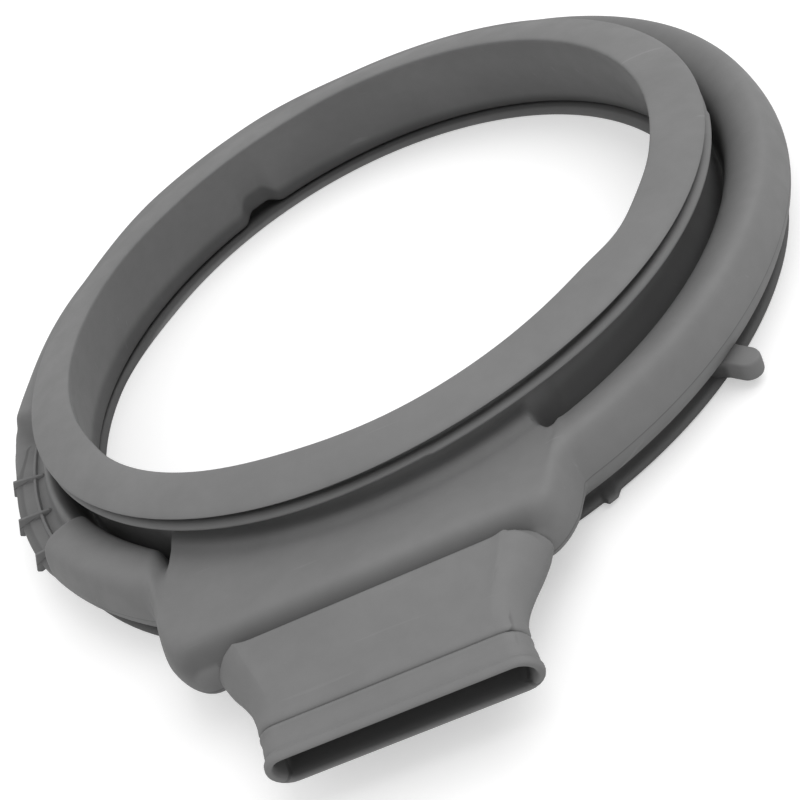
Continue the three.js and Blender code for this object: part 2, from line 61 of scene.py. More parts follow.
# the angle, the width and the size of each wave
MOUTH_WAVES = ((-37, 15, 1.9), (-10, 10, -1.1), (47, 8, 3.0), (61, 9, 1.2))
FAR_ANGLE = -153
FAR_HALF_ANGLE = 24
FAR_BLEND = 12
FAR_RISE = 1.2
FAR_REACH = 1.4
FAR_FLATTEN = 2.0
CHANNEL_DEPTH = 9.4
SECOND_LIP_RADIUS = 170.9
SECOND_LIP_HEIGHT = 44.0
SECOND_LIP_THICK = 2.4
SECOND_LIP_SAG = 2.6
SECOND_LIP_STEP = 0.6
SECOND_LIP_STEP_FROM = 6.5
SECOND_LIP_STEP_TO = 77.5
SAG_ANGLE = 13
SAG_WIDTH = 27
print("front lip:", 2 * LIP_RADIUS, "mm across, mouth:", 2 * MOUTH_RADIUS, "mm")

# %% [markdown]
# Behind the lips the neck drops into a deep groove, and the round bulge rises beyond it. The bulge
# ends in a clamp groove and a flat rear plate, which the drum's housing grips.

# %% Sizes of the neck, the bulge and the rear plate
WALL = 3.0
NECK_RADIUS = 158.0
SKIRT_RADIUS = 161.4
GROOVE_FLOOR = 10.4
GROOVE_WIDTH = 8.5
LEDGE_HEIGHT = 19.5
LEDGE_WIDTH = 4.6
BULGE_RADIUS = 197.6
BULGE_INNER_RADIUS = 173.0
BULGE_INNER_DROP = 7.4
BULGE_EASE = 4.0
EASE_FROM = -108
EASE_TO = -86
EASE_BLEND = 12
INNER_REACH = 3.2
INNER_REACH_FROM = -100
INNER_REACH_TO = -28
INNER_REACH_BLEND = 14
CREST_HEIGHT = 38.4
PARTING_HEIGHT = 23.0
BAND_HEIGHT = 11.0
CLAMP_RADIUS = 186.4
RIM_RADIUS = 192.8
RIM_SLACK = 1.0
RIM_SLACK_FROM = -115
RIM_SLACK_TO = -28
PLATE_THICK = 3.2
REAR_BORE_RADIUS = 155.6
REAR_BORE_SLACK = 5.0
SLACK_FROM = -116
SLACK_TO = -52
SLACK_BLEND = 13
REAR_BAND_WIDTH = 8.0
REAR_BAND_HEIGHT = 4.6
FOLD_GAP = 0.8
# how far the back of the ring is moved and leaned against the lips
BACK_SHIFT = (-1.0, -0.2)
BACK_LEAN = (-0.005, 0.011)
print("bulge:", 2 * BULGE_RADIUS, "mm across,", CREST_HEIGHT, "mm high")

# %% [markdown]
# At the bottom the bulge widens into a box, the shoulder, from which the air duct leaves. A shallow
# valley lies between the shoulder's ridge and the raised panel on the duct.

# %% Sizes of the shoulder and the duct
SHOULDER_LEFT = -102.5
SHOULDER_RIGHT = 66.0
SHOULDER_FRONT = 211.0
SHOULDER_TOP = 40.5
SHOULDER_FLOOR = 33.0
SHOULDER_UNDERSIDE = 14.6
END_BLEND = 3.0
END_RATIO = 0.7
END_SLANT = 7.0
RIDGE_SETBACK = 10.5
CORNER_POWER = 1.6
# the width and the depth of each rounded front corner
LEFT_CORNER = (24.0, 36.0)
RIGHT_CORNER = (20.0, 28.0)
VALLEY_DEPTH = 1.6
VALLEY_REACH = 1.6
VALLEY_LEFT = -86
VALLEY_RIGHT = 46
VALLEY_BLEND = 9
DUCT_MIDDLE = -13.4
DUCT_MIDDLE_AT_MOUTH = -11.2
DUCT_HEIGHT = 24.8
DUCT_REACH = 256.4
print("shoulder:", SHOULDER_RIGHT - SHOULDER_LEFT, "mm wide, duct reaches", DUCT_REACH, "mm")

# %% [markdown]
# The small features break the ring's symmetry: a sunken pocket with ribs on the left, a tooth on
# the rim, and a drain notch in the inner wall.

# %% Sizes of the pocket, the notch and the tooth
POCKET_FROM = -87.5
POCKET_TO = -55.5
POCKET_BLEND = 1.6
POCKET_FLOOR = 19.8
POCKET_FLOOR_RADIUS = 181.2
POCKET_EDGE_RISE = 2.6
POCKET_EDGE_REACH = 0.9
POCKET_EDGE_FROM = -80
POCKET_EDGE_TO = -86
TONGUE_RADIUS = 176.8
TONGUE_HEIGHT = 29.6
LONG_RIB_RADIUS = 188.4
LONG_RIB_TOP = 22.8
RIB_THICK = 1.6
BRIM_FROM = -95
BRIM_TO = -86
NOTCH_ANGLE = -157.3
NOTCH_HALF_ANGLE = 3.4
NOTCH_LIFT = 4.4
NOTCH_DENT = 2.6
TOOTH_ANGLE = 21.6
TOOTH_HALF_ANGLE = 0.9
TOOTH_SIZE = 3.0
print("pocket:", POCKET_TO - POCKET_FROM, "degrees long")

# %% [markdown]
# Every feature fades in and out along the ring, as a moulded one does. A smooth step gives one such
# edge, and a window, which is 1 between two limits, has an edge at both ends.

# %% Helpers for blending
def step(low, high, value):
    share = np.clip((value - low) / (high - low), 0.0, 1.0)
    return share * share * (3.0 - 2.0 * share)


def window(low, high, soft, value):
    return step(low - soft, low + soft, value) * (1.0 - step(high - soft, high + soft, value))


def bell(centre, width, value):
    return np.exp(-((value - centre) / width) ** 2)


def mix(a, b, share):
    return a + (b - a) * share


def turned_from(centre, angle):
    return (angle - centre + 540.0) % 360.0 - 180.0


print("halfway up a step:", float(step(0.0, 1.0, 0.5)))

# %% [markdown]
# A column is a line in plan that starts on a base circle and carries one full section. Columns all
# round a circle would cut the box-shaped shoulder askew. So they run radially round the ring, turn
# gently, and lie side by side, parallel to the duct, where they cross the shoulder.

# %% Columns
BASE_RADIUS = 175.0
FAN_ANGLE = 26.0


def column_angle_of(x):
    return math.degrees(math.asin(x / BASE_RADIUS))


LEFT_END = column_angle_of(SHOULDER_LEFT - END_BLEND)
RIGHT_END = column_angle_of(SHOULDER_RIGHT + END_BLEND)


class Columns:
    def __init__(self, start_angle):
        fan = np.where(start_angle < 0, step(-LEFT_END, -LEFT_END + FAN_ANGLE, -start_angle),
                       step(RIGHT_END, RIGHT_END + FAN_ANGLE, start_angle))
        self.start_angle = start_angle
        self.heading = np.radians(start_angle * fan)
        self.start_x = BASE_RADIUS * np.sin(np.radians(start_angle))
        self.start_y = -BASE_RADIUS * np.cos(np.radians(start_angle))
        self.along = self.start_x * np.sin(self.heading) - self.start_y * np.cos(self.heading)

    def at(self, reach):
        shape = (-1,) + (1,) * (np.ndim(reach) - 1)
        x, y, heading = (a.reshape(shape) for a in (self.start_x, self.start_y, self.heading))
        return x + reach * np.sin(heading), y - reach * np.cos(heading)

    def to_radius(self, radius):
        return -self.along + np.sqrt(self.along ** 2 - BASE_RADIUS ** 2 + radius ** 2)

    def to_front(self, distance):
        cosine = np.where(np.abs(self.start_angle) < 80, np.cos(self.heading), 1.0)
        return (distance + self.start_y) / cosine

    def angle_at(self, radius):
        x, y = self.at(self.to_radius(radius))
        return np.degrees(np.arctan2(x, -y))


print("columns run straight from", round(LEFT_END, 1), "to", round(RIGHT_END, 1), "degrees")

# %% [markdown]
# The mesh has to be fine only where the section changes fast, such as at the ends of the shoulder,
# the pocket and the notch. An even grid would need many more columns. So the columns crowd round a
# few marks, each with an angle, a width and how many times denser it makes them.

# %% Place the columns
COLUMN_COUNT = 340
OPENING_HALF = 59.5
COLUMN_MARKS = (
    (column_angle_of(SHOULDER_LEFT), 2.2, 7),
    (column_angle_of(SHOULDER_RIGHT), 2.0, 6),
    (POCKET_FROM, 2.2, 4),
    (POCKET_TO, 2.2, 4),
    (NOTCH_ANGLE, 6.5, 2.2),
    (TOOTH_ANGLE + 2.0, 1.6, 6),
    (SECOND_LIP_STEP_FROM, 0.9, 5),
    (SECOND_LIP_STEP_TO, 1.2, 5),
    (column_angle_of(DUCT_MIDDLE - OPENING_HALF - 1.0), 1.6, 5),
    (column_angle_of(DUCT_MIDDLE + OPENING_HALF + 1.0), 1.6, 5),
    (column_angle_of(SHOULDER_LEFT + 14), 4.0, 2),
    (column_angle_of(SHOULDER_RIGHT - 11), 4.0, 2),
)


def column_angles(count):
    fine = np.linspace(-180.0, 180.0, 7201)
    density = np.ones_like(fine)
    for centre, width, extra in COLUMN_MARKS:
        density += extra * bell(centre, width, fine)
    total = np.concatenate([[0.0], np.cumsum((density[1:] + density[:-1]) / 2.0)])
    return np.interp(np.arange(count) / count * total[-1], total, fine)


columns = Columns(column_angles(COLUMN_COUNT))
print("columns:", len(columns.start_angle))

# %% [markdown]
# The section is a closed outline of 55 control points. Each point is placed from the sizes above,
# at a radius on the ring or at a distance behind the shoulder's front face. A weight then blends
# the ring's point into the shoulder's or the pocket's, so the same points make every feature.

# %% Tools for one section
def front_distance(x):
    left = SHOULDER_LEFT + LEFT_CORNER[0] - x
    right = x - (SHOULDER_RIGHT - RIGHT_CORNER[0])
    over = np.maximum(np.maximum(left, right), 0.0)
    wide = np.where(left > right, LEFT_CORNER[0], RIGHT_CORNER[0])
    deep = np.where(left > right, LEFT_CORNER[1], RIGHT_CORNER[1])
    share = np.minimum(0.97, over / wide)
    return SHOULDER_FRONT - deep * (1.0 - (1.0 - share ** CORNER_POWER) ** (1.0 / CORNER_POWER))


class Section:
    def __init__(self, plan):
        self.plan = plan
        self.lip_angle = plan.angle_at(LIP_RADIUS)
        self.rim_angle = plan.angle_at(RIM_RADIUS)
        self.rib_angle = plan.angle_at(LONG_RIB_RADIUS)
        self.near = np.where(np.abs(self.rim_angle) < 90, 1.0, 0.0)
        self.in_pocket = window(POCKET_FROM, POCKET_TO, POCKET_BLEND, self.rib_angle)

    def ring(self, radius, height):
        return np.stack([self.plan.to_radius(radius), height + 0.0 * self.plan.start_angle], -1)

    def face(self, back, height):
        reach = self.plan.to_front(front_distance(self.plan.start_x) - back)
        return np.stack([reach, height + 0.0 * self.plan.start_angle], -1)

    def blend(self, weight, a, b):
        return mix(a, b, weight[:, None])

    def out(self, a, b, inset=0.0, soft=0.0, right=None, wall=0.0):
        right = inset * END_RATIO if right is None else right
        across = window(SHOULDER_LEFT + (inset + wall), SHOULDER_RIGHT - (right + wall), END_BLEND + soft,
                        self.plan.start_x)
        return self.blend(self.near * across, a, b)

    def inn(self, a, b, inset=0.0, soft=0.0, right=None):
        return self.out(a, b, inset, soft, right, WALL)

    def pocket(self, a, b):
        return self.blend(self.in_pocket, a, b)

    def brim(self, a, b):
        angle = self.plan.angle_at(BULGE_RADIUS)
        end = 1.0 - step(POCKET_TO - POCKET_BLEND, POCKET_TO + POCKET_BLEND, angle)
        return self.blend(step(BRIM_FROM, BRIM_TO, angle) * end, a, b)

    def top(self, share, drop=0.0):
        inner = self.ring(NECK_RADIUS + 6.5, SHOULDER_FLOOR + 1.0)
        point = mix(inner, self.face(RIDGE_SETBACK, SHOULDER_TOP), share)
        point[:, 1] -= drop
        return point


section = Section(columns)
print("columns that cross the shoulder:", int(np.sum(section.near * window(
    SHOULDER_LEFT, SHOULDER_RIGHT, END_BLEND, columns.start_x) > 0.5)))

# %% [markdown]
# The outline starts on the mouth. The front lip is a thin flange that sags a little at the bottom
# and flattens on the far side. Below it the channel runs in to the second lip.

# %% The two lips
def lip_points(s):
    far = window(-FAR_HALF_ANGLE, FAR_HALF_ANGLE, FAR_BLEND, turned_from(FAR_ANGLE, s.lip_angle))
    sag = bell(SAG_ANGLE, SAG_WIDTH, s.lip_angle)
    mouth = MOUTH_RADIUS + sum(size * bell(at, wide, s.lip_angle) for at, wide, size in MOUTH_WAVES)
    lip_r = LIP_RADIUS + FAR_REACH * far - LIP_SAG * sag
    lip_z = LIP_HEIGHT + FAR_RISE * far
    tip = lip_z + LIP_CROWN - FAR_FLATTEN * far
    channel = LIP_RADIUS - CHANNEL_DEPTH - LIP_SAG * sag * 0.5
    stepped = window(SECOND_LIP_STEP_FROM, SECOND_LIP_STEP_TO, 0.6, s.lip_angle)
    second_r = SECOND_LIP_RADIUS + SECOND_LIP_STEP * stepped - SECOND_LIP_SAG * sag
    second_low = SECOND_LIP_HEIGHT - SECOND_LIP_THICK
    return [
        s.ring(mouth + 1.2, LIP_HEIGHT - 2.0),
        s.ring(mouth - 0.7, tip - 0.5),
        s.ring(mouth + 0.9, tip + 0.5),
        s.ring(MOUTH_RADIUS + 11.6, tip + 0.2),
        s.ring(lip_r - 2.4, lip_z + 0.6),
        s.ring(lip_r + 0.4, lip_z),
        s.ring(lip_r - 1.8, lip_z - LIP_THICK),
        s.ring(channel, LIP_HEIGHT - LIP_THICK - 1.2),
        s.ring(channel + 2.2, SECOND_LIP_HEIGHT - 1.6),
        s.ring(second_r - 3.8, SECOND_LIP_HEIGHT + 1.3),
        s.ring(second_r + 0.5, SECOND_LIP_HEIGHT - 0.4),
        s.ring(second_r - 2.8, second_low),
        s.ring(NECK_RADIUS + 1.0, second_low - 1.4),
        s.out(s.ring(NECK_RADIUS - 0.2, second_low - 4.6), s.ring(NECK_RADIUS, second_low - 3.0)),
    ]


print("control points of the lips:", len(lip_points(section)))

# %% [markdown]
# Round the ring the outline now dips into the groove and climbs the bulge. Across the shoulder the
# same points lie flat on its top instead, up to the ridge, and in the pocket they form the tongue.

# %% The groove and the crest of the bulge
FLOOR_INNER = SKIRT_RADIUS + WALL + 2.4
FLOOR_OUTER = FLOOR_INNER + GROOVE_WIDTH * 0.45


def bulge_radii(s):
    ease = BULGE_EASE * window(EASE_FROM, EASE_TO, EASE_BLEND, s.lip_angle)
    inner_angle = s.plan.angle_at(BULGE_INNER_RADIUS)
    reach = INNER_REACH * window(INNER_REACH_FROM, INNER_REACH_TO, INNER_REACH_BLEND, inner_angle)
    return BULGE_INNER_RADIUS - reach, BULGE_RADIUS - ease, BULGE_INNER_DROP - reach * 0.35


def notch_window(s, margin=0.0):
    half = NOTCH_HALF_ANGLE + margin
    return window(-half, half, NOTCH_HALF_ANGLE * 0.5, turned_from(NOTCH_ANGLE, s.lip_angle))


def groove_points(s):
    inner_r, outer_r, drop = bulge_radii(s)
    floor = GROOVE_FLOOR + NOTCH_LIFT * notch_window(s, 1)
    return [
        s.out(s.ring(NECK_RADIUS + 2.0, LEDGE_HEIGHT + 9.5), s.ring(NECK_RADIUS + 1.4, SHOULDER_FLOOR + 1.2)),
        s.out(s.ring(FLOOR_INNER - 4.8 + LEDGE_WIDTH, LEDGE_HEIGHT), s.top(0.0), END_SLANT * 1.08, 0, 8),
        s.out(s.ring(FLOOR_INNER + 0.8, floor), s.top(0.12), END_SLANT, 0, 7),
        s.out(s.ring(FLOOR_OUTER, floor - 0.4), s.top(0.24), END_SLANT * 0.96, 0.5, 4.5),
        s.out(s.ring(FLOOR_OUTER + 0.8, mix(GROOVE_FLOOR, CREST_HEIGHT, 0.45)), s.top(0.4),
              END_SLANT * 0.88, 1, 2),
        s.out(s.pocket(s.ring(inner_r - 0.4, CREST_HEIGHT - drop),
                       s.ring(TONGUE_RADIUS - 2.4, TONGUE_HEIGHT - 0.8)),
              s.top(0.56), END_SLANT * 0.8, 1.5, 1),
        s.out(s.pocket(s.ring(inner_r + 5.6, CREST_HEIGHT - drop * 0.36),
                       s.ring(TONGUE_RADIUS, TONGUE_HEIGHT)),
              s.top(0.74), END_SLANT * 0.8, 2, 3),
        s.out(s.pocket(s.ring(mix(inner_r, outer_r, 0.54), CREST_HEIGHT + 0.5),
                       s.ring(TONGUE_RADIUS + 2.6, TONGUE_HEIGHT - 3)),
              s.face(RIDGE_SETBACK, SHOULDER_TOP), END_SLANT * 0.9, 3, 6.3),
    ]


print("control points of the groove and the crest:", len(groove_points(section)))

# %% [markdown]
# From the crest the outline runs down outside: over the bulge's flank, or over the ridge, the valley
# and the shoulder's front face, and then under to the clamp groove.

# %% The flank and the shoulder's front
def valley_window(s):
    return window(VALLEY_LEFT, VALLEY_RIGHT, VALLEY_BLEND, s.plan.start_x)


def flank_points(s):
    outer_r = bulge_radii(s)[1]
    valley = valley_window(s)
    raised = step(-POCKET_EDGE_FROM, -POCKET_EDGE_TO, -s.rib_angle)
    edge = s.ring(BULGE_RADIUS + 1.4 + POCKET_EDGE_REACH * raised,
                  POCKET_FLOOR + 5.4 + POCKET_EDGE_RISE * raised)
    return [
        s.out(s.pocket(s.ring(outer_r - 5.4, CREST_HEIGHT), s.ring(POCKET_FLOOR_RADIUS, POCKET_FLOOR + 0.4)),
              s.face(RIDGE_SETBACK * 0.42 + VALLEY_REACH * valley,
                     SHOULDER_TOP - 2.2 - VALLEY_DEPTH * valley),
              END_SLANT * 0.95, 3, 4.2),
        s.out(s.pocket(s.ring(outer_r - 2.0, mix(PARTING_HEIGHT, CREST_HEIGHT, 0.46)),
                       s.ring(LONG_RIB_RADIUS - 0.6, POCKET_FLOOR + 0.2)),
              s.face(0.6, mix(PARTING_HEIGHT, SHOULDER_TOP, 0.4)), END_SLANT * 0.5, 1, 1.7),
        s.out(s.brim(s.ring(outer_r + 0.1, PARTING_HEIGHT), edge), s.face(-0.3, PARTING_HEIGHT - 1.6)),
        s.out(s.brim(s.ring(outer_r - 1.2, PARTING_HEIGHT - 6),
                     s.ring(BULGE_RADIUS - 0.8, PARTING_HEIGHT - 6)),
              s.face(3.4, SHOULDER_UNDERSIDE + 3.2), 1.5, 0, 4),
        s.out(s.ring(outer_r - 3.6, BAND_HEIGHT - 0.2), s.face(9.0, SHOULDER_UNDERSIDE), 4, 2, 8),
        s.out(s.ring(mix(CLAMP_RADIUS, outer_r, 0.5), BAND_HEIGHT - 0.4),
              s.ring(mix(CLAMP_RADIUS, outer_r, 0.4), SHOULDER_UNDERSIDE - 0.2), 5, 2, 9),
        s.out(s.ring(CLAMP_RADIUS + 0.2, BAND_HEIGHT - 1.0),
              s.ring(CLAMP_RADIUS + 0.2, SHOULDER_UNDERSIDE - 0.8), 5, 2, 9),
    ]


print("control points of the flank:", len(flank_points(section)))

# %% [markdown]
# The rear plate is the same all round, but for its tooth and for the rim and the bore, which stand
# a little wider on the left. Its underside lies on z = 0, on which the part rests.

# %% The rear plate
CHAMBER_RADIUS = CLAMP_RADIUS - WALL
REAR_BAND_RADIUS = REAR_BORE_RADIUS + REAR_BAND_WIDTH


def rear_points(s):
    wider = window(RIM_SLACK_FROM, RIM_SLACK_TO, SLACK_BLEND, s.rim_angle)
    rim_r = RIM_RADIUS + RIM_SLACK * wider
    tooth = TOOTH_SIZE * window(-TOOTH_HALF_ANGLE, TOOTH_HALF_ANGLE, 0.4, s.rim_angle - TOOTH_ANGLE)
    slack = REAR_BORE_SLACK * window(SLACK_FROM, SLACK_TO, SLACK_BLEND, s.lip_angle)
    return [
        s.ring(CLAMP_RADIUS, PLATE_THICK + 1.2),
        s.ring(rim_r - 1.4 + tooth, PLATE_THICK + 1.2),
        s.ring(rim_r + 0.4 + tooth, PLATE_THICK * 0.55),
        s.ring(rim_r - 2.4, 0),
        s.ring(RIM_RADIUS - 7, 0),
        s.ring(REAR_BORE_RADIUS + 5 + slack * 0.6, 0),
        s.ring(REAR_BORE_RADIUS - 0.2 + slack, 0.1),
        s.ring(mix(REAR_BORE_RADIUS + slack, REAR_BAND_RADIUS, 0.42), REAR_BAND_HEIGHT * 0.5),
        s.ring(REAR_BAND_RADIUS, REAR_BAND_HEIGHT - 0.1),
        s.ring(REAR_BAND_RADIUS + 4.4, PLATE_THICK),
        s.ring(CHAMBER_RADIUS - 2.6, PLATE_THICK),
        s.ring(CHAMBER_RADIUS, PLATE_THICK + 1.8),
    ]


print("control points of the rear plate:", len(rear_points(section)))

# %% [markdown]
# The bellows is hollow, so the outline goes back inside. It follows the outer skin one wall's
# thickness away, up the flank, over the crest and down the groove. Copying the skin along its
# normals would fold up in the tight bends, and placing each point avoids that.

# %% The chamber inside
def chamber_points(s):
    inner_r, outer_r, drop = bulge_radii(s)
    valley = valley_window(s)
    ceiling = CREST_HEIGHT - WALL
    return [
        s.inn(s.ring(CHAMBER_RADIUS, BAND_HEIGHT + WALL * 0.55),
              s.ring(CHAMBER_RADIUS + 0.4, SHOULDER_UNDERSIDE + WALL * 0.8), 5, 2, 9),
        s.inn(s.ring(outer_r - 3.6 - WALL, BAND_HEIGHT + WALL + 0.2),
              s.face(9.0 + WALL, SHOULDER_UNDERSIDE + WALL + 0.4), 4, 2, 8),
        s.inn(s.pocket(s.ring(outer_r - 1.2 - WALL, PARTING_HEIGHT - 5),
                       s.ring(BULGE_RADIUS - 5.2, BAND_HEIGHT + 4.0)),
              s.face(WALL + 3.0, SHOULDER_UNDERSIDE + 5.6), 2, 0, 4),
        s.inn(s.pocket(s.ring(outer_r - WALL - 0.3, PARTING_HEIGHT + 1),
                       s.ring(BULGE_RADIUS - 5.8, POCKET_FLOOR - WALL - 0.4)),
              s.face(WALL + 0.4, PARTING_HEIGHT + 5), 2),
        s.inn(s.pocket(s.ring(outer_r - 6.0, ceiling - 2.2),
                       s.ring(LONG_RIB_RADIUS - 0.8, POCKET_FLOOR - WALL)),
              s.face(RIDGE_SETBACK * 0.42 + WALL * 1.1 + (VALLEY_REACH + 0.5) * valley,
                     SHOULDER_TOP - 5.0 - (VALLEY_DEPTH + WALL) * valley),
              END_SLANT * 0.95, 3, 4.2),
        s.inn(s.pocket(s.ring(mix(inner_r, outer_r, 0.54), ceiling + 0.2),
                       s.ring(POCKET_FLOOR_RADIUS + 2.4, POCKET_FLOOR - WALL - 0.4)),
              s.face(RIDGE_SETBACK + 2.0, SHOULDER_TOP - WALL - 0.4), END_SLANT * 1.2, 3, 6.3),
        s.inn(s.pocket(s.ring(inner_r + WALL * 1.5, CREST_HEIGHT - drop - 1),
                       s.ring(TONGUE_RADIUS + WALL, POCKET_FLOOR - WALL - 1)),
              s.top(0.56, WALL), END_SLANT * 0.93, 1, 3),
        s.inn(s.ring(FLOOR_OUTER + 0.8 + WALL, mix(GROOVE_FLOOR, CREST_HEIGHT, 0.38) - s.in_pocket * 5),
              s.top(0.2, WALL + 0.2), END_SLANT * 0.9, 0, 4),
    ]


print("control points of the chamber:", len(chamber_points(section)))

# %% [markdown]
# Under the groove the outline folds back and climbs the smooth inner wall to the mouth. The drain
# notch lifts the fold. Over the shoulder the fold rises with the floor, so the duct opens inwards.

# %% The fold and the inner wall
def skirt_points(s):
    notch = notch_window(s)
    lift = NOTCH_LIFT * notch
    dent = NOTCH_DENT * notch
    fold = GROOVE_FLOOR - WALL
    under = SHOULDER_FLOOR - WALL
    return [
        s.inn(s.ring(FLOOR_OUTER + WALL + 0.8, fold + 1.8 + lift), s.ring(NECK_RADIUS + 4.6, under + 0.4),
              END_SLANT, 0, 6),
        s.inn(s.ring(mix(SKIRT_RADIUS, FLOOR_OUTER, 0.75), fold - 0.2 + lift),
              s.ring(NECK_RADIUS + 1.6, under - 0.6), END_SLANT, 0, 8),
        s.inn(s.ring(SKIRT_RADIUS + 3.2 + dent, REAR_BAND_HEIGHT + FOLD_GAP + lift),
              s.ring(NECK_RADIUS, under - 0.6), END_SLANT, 0, 9),
        s.inn(s.ring(SKIRT_RADIUS + dent, REAR_BAND_HEIGHT + FOLD_GAP - 0.2 + lift),
              s.ring(NECK_RADIUS - 1.8, under - 0.4), END_SLANT, 0, 9),
        s.inn(s.ring(SKIRT_RADIUS - 0.4 + dent, REAR_BAND_HEIGHT + 4.2 + lift * 0.9),
              s.ring(NECK_RADIUS - 3.0, under + 1.4), END_SLANT, 0, 9),
        s.ring(mix(MOUTH_RADIUS, SKIRT_RADIUS, 0.22), LIP_HEIGHT - 8),
    ]


outline_parts = (lip_points, groove_points, flank_points, rear_points, chamber_points, skirt_points)
cage = np.stack([point for part in outline_parts for point in part(section)], 1)
print("control points in one section:", cage.shape[1])

# %% [markdown]
# Rubber has no hard corners, so each section is a closed cubic spline, which passes near its control
# points and not through them. A Subdivision Surface modifier would round them much the same way, but
# the spline is the one that the CAD source uses, with more samples to a point.

# %% Spline each section
SAMPLES = 4


def spline_section(cage):
    before = np.roll(cage, 1, 1)
    after = np.roll(cage, -1, 1)
    beyond = np.roll(cage, -2, 1)
    rows = []
    for t in np.arange(SAMPLES) / SAMPLES:
        rows.append(((1 - t) ** 3 * before + (3 * t ** 3 - 6 * t ** 2 + 4) * cage
                     + (-3 * t ** 3 + 3 * t ** 2 + 3 * t + 1) * after + t ** 3 * beyond) / 6.0)
    return np.stack(rows, 2).reshape(cage.shape[0], -1, 2)


outline = spline_section(cage)
print("samples in one section:", outline.shape[1])

# %% [markdown]
# The seal in the picture has settled: behind the lips the ring is shifted a little, and the bulge
# leans. Both are added once the sections stand in their places.

# %% Sweep the ring
def settled(points):
    x, y, z = points[..., 0], points[..., 1], points[..., 2]
    behind = 1.0 - step(SECOND_LIP_HEIGHT - 10, SECOND_LIP_HEIGHT + 1, z)
    risen = step(GROOVE_FLOOR, PARTING_HEIGHT, z) * step(NECK_RADIUS + 8, BULGE_INNER_RADIUS, np.hypot(x, y))
    rise = (BACK_LEAN[0] * x + BACK_LEAN[1] * y) * risen
    return np.stack([x + BACK_SHIFT[0] * behind, y + BACK_SHIFT[1] * behind, z + rise], -1)


plan_x, plan_y = columns.at(outline[..., 0])
grid = settled(np.stack([plan_x, plan_y, outline[..., 1]], -1))
column_total, row_total = grid.shape[:2]
print("ring grid:", column_total, "columns by", row_total, "rows")

# %% [markdown]
# The duct grows out of the shoulder's front wall with a soft fillet. A Boolean would leave a hard
# seam there. So a block of faces is opened in the wall's outer skin and another in its inner skin,
# and loops with as many points run from one to the other by way of the duct's mouth. The whole seal
# stays a single sheet.

# %% Open the shoulder
OUTER_TOP_POINT = 22
OUTER_LOW_POINT = 26
INNER_LOW_POINT = 42
INNER_TOP_POINT = 46
FAR_SIDE_PENALTY = 1e3


def column_near(x):
    penalty = FAR_SIDE_PENALTY * (np.abs(columns.start_angle) > 90)
    return int(np.argmin(np.abs(columns.start_x - x) + penalty))


left = column_near(DUCT_MIDDLE - OPENING_HALF)
right = column_near(DUCT_MIDDLE + OPENING_HALF)
out_top = OUTER_TOP_POINT * SAMPLES + 3
out_low = OUTER_LOW_POINT * SAMPLES - 1
in_low = INNER_LOW_POINT * SAMPLES + 2
in_top = INNER_TOP_POINT * SAMPLES - 2
tall = out_low - out_top
out_rows = list(range(out_top, out_low + 1))
in_rows = list(np.round(np.linspace(in_top, in_low, tall + 1)).astype(int))
print("opening:", right - left, "columns by", tall, "rows")

# %% [markdown]
# Both openings are read as a ring of points in the same order: along the top, down the right side,
# back along the bottom and up the left side.

# %% The rims of the openings
def rim_indices(rows):
    ids = [(c, rows[0]) for c in range(left, right)]
    ids += [(right, r) for r in rows[:-1]]
    ids += [(c, rows[-1]) for c in range(right, left, -1)]
    ids += [(left, r) for r in rows[:0:-1]]
    return ids


def grid_points(ids):
    return grid[tuple(np.array(ids).T)]


outer_rim = rim_indices(out_rows)
inner_rim = rim_indices(in_rows)
print("points on each rim:", len(outer_rim), len(inner_rim))

# %% [markdown]
# A duct loop follows the rim point by point: across the top panel, down the right flank, back
# along the underside and up the left flank. The flanks are half superellipses: slanting with a
# crisp upper edge on the duct's neck, round on its cuff. A low bead edges the panel.

# %% The shape of a duct loop
MIDDLE_SHIFT_FROM = 237.0
PANEL_RIDGE = 0.7
PANEL_RIDGE_WIDTH = 3.2
# the reaches between which the bead fades in, and out again
PANEL_RIDGE_IN = (211.0, 217.0)
PANEL_RIDGE_OUT = (226.0, 238.0)


def duct_loop(reach_top, reach_side, reach_low, width, up, down, flank, power):
    centre = mix(DUCT_MIDDLE, DUCT_MIDDLE_AT_MOUTH, float(step(MIDDLE_SHIFT_FROM, DUCT_REACH, reach_side)))
    columns_x = columns.start_x[left:right + 1]
    across = (columns_x - columns_x[0]) / (columns_x[-1] - columns_x[0]) * 2.0 - 1.0
    down_side = np.linspace(0.0, 1.0, tall + 1)
    bead = PANEL_RIDGE * float(step(*PANEL_RIDGE_IN, reach_side) * (1.0 - step(*PANEL_RIDGE_OUT, reach_side)))
    points = []

    def lifted(u):
        edge = (1.0 - abs(u)) * (width - flank) / PANEL_RIDGE_WIDTH
        return 1.0 + bead / up * math.exp(-edge * edge)

    def add(x, rise):
        lean_to = reach_top if rise > 0 else reach_low
        reach = mix(reach_side, lean_to, abs(rise) ** 1.5)
        points.append((centre + x, -reach, DUCT_HEIGHT + rise * (up if rise > 0 else down)))

    def flank_at(share):
        angle = math.pi * share - math.pi / 2.0
        over = abs(math.cos(angle)) ** power
        return width - flank + flank * over, -math.copysign(abs(math.sin(angle)) ** power, angle)

    for u in across[:-1]:
        add(u * (width - flank), lifted(u))
    for share in down_side[:-1]:
        add(*flank_at(share))
    for u in across[:0:-1]:
        add(u * (width - flank), -1.0)
    for share in down_side[:0:-1]:
        x, rise = flank_at(share)
        add(-x, rise)
    return np.array(points)


print("bead along the panel:", PANEL_RIDGE, "mm high")

# %% [markdown]
# The loops are read from the picture like stations along a boat's hull. Three short lists hold them:
# the neck, which starts in the valley at a slant, the cuff with its groove, collar and bead, and the
# passage back inside. Sharp features have two or three stations close together.

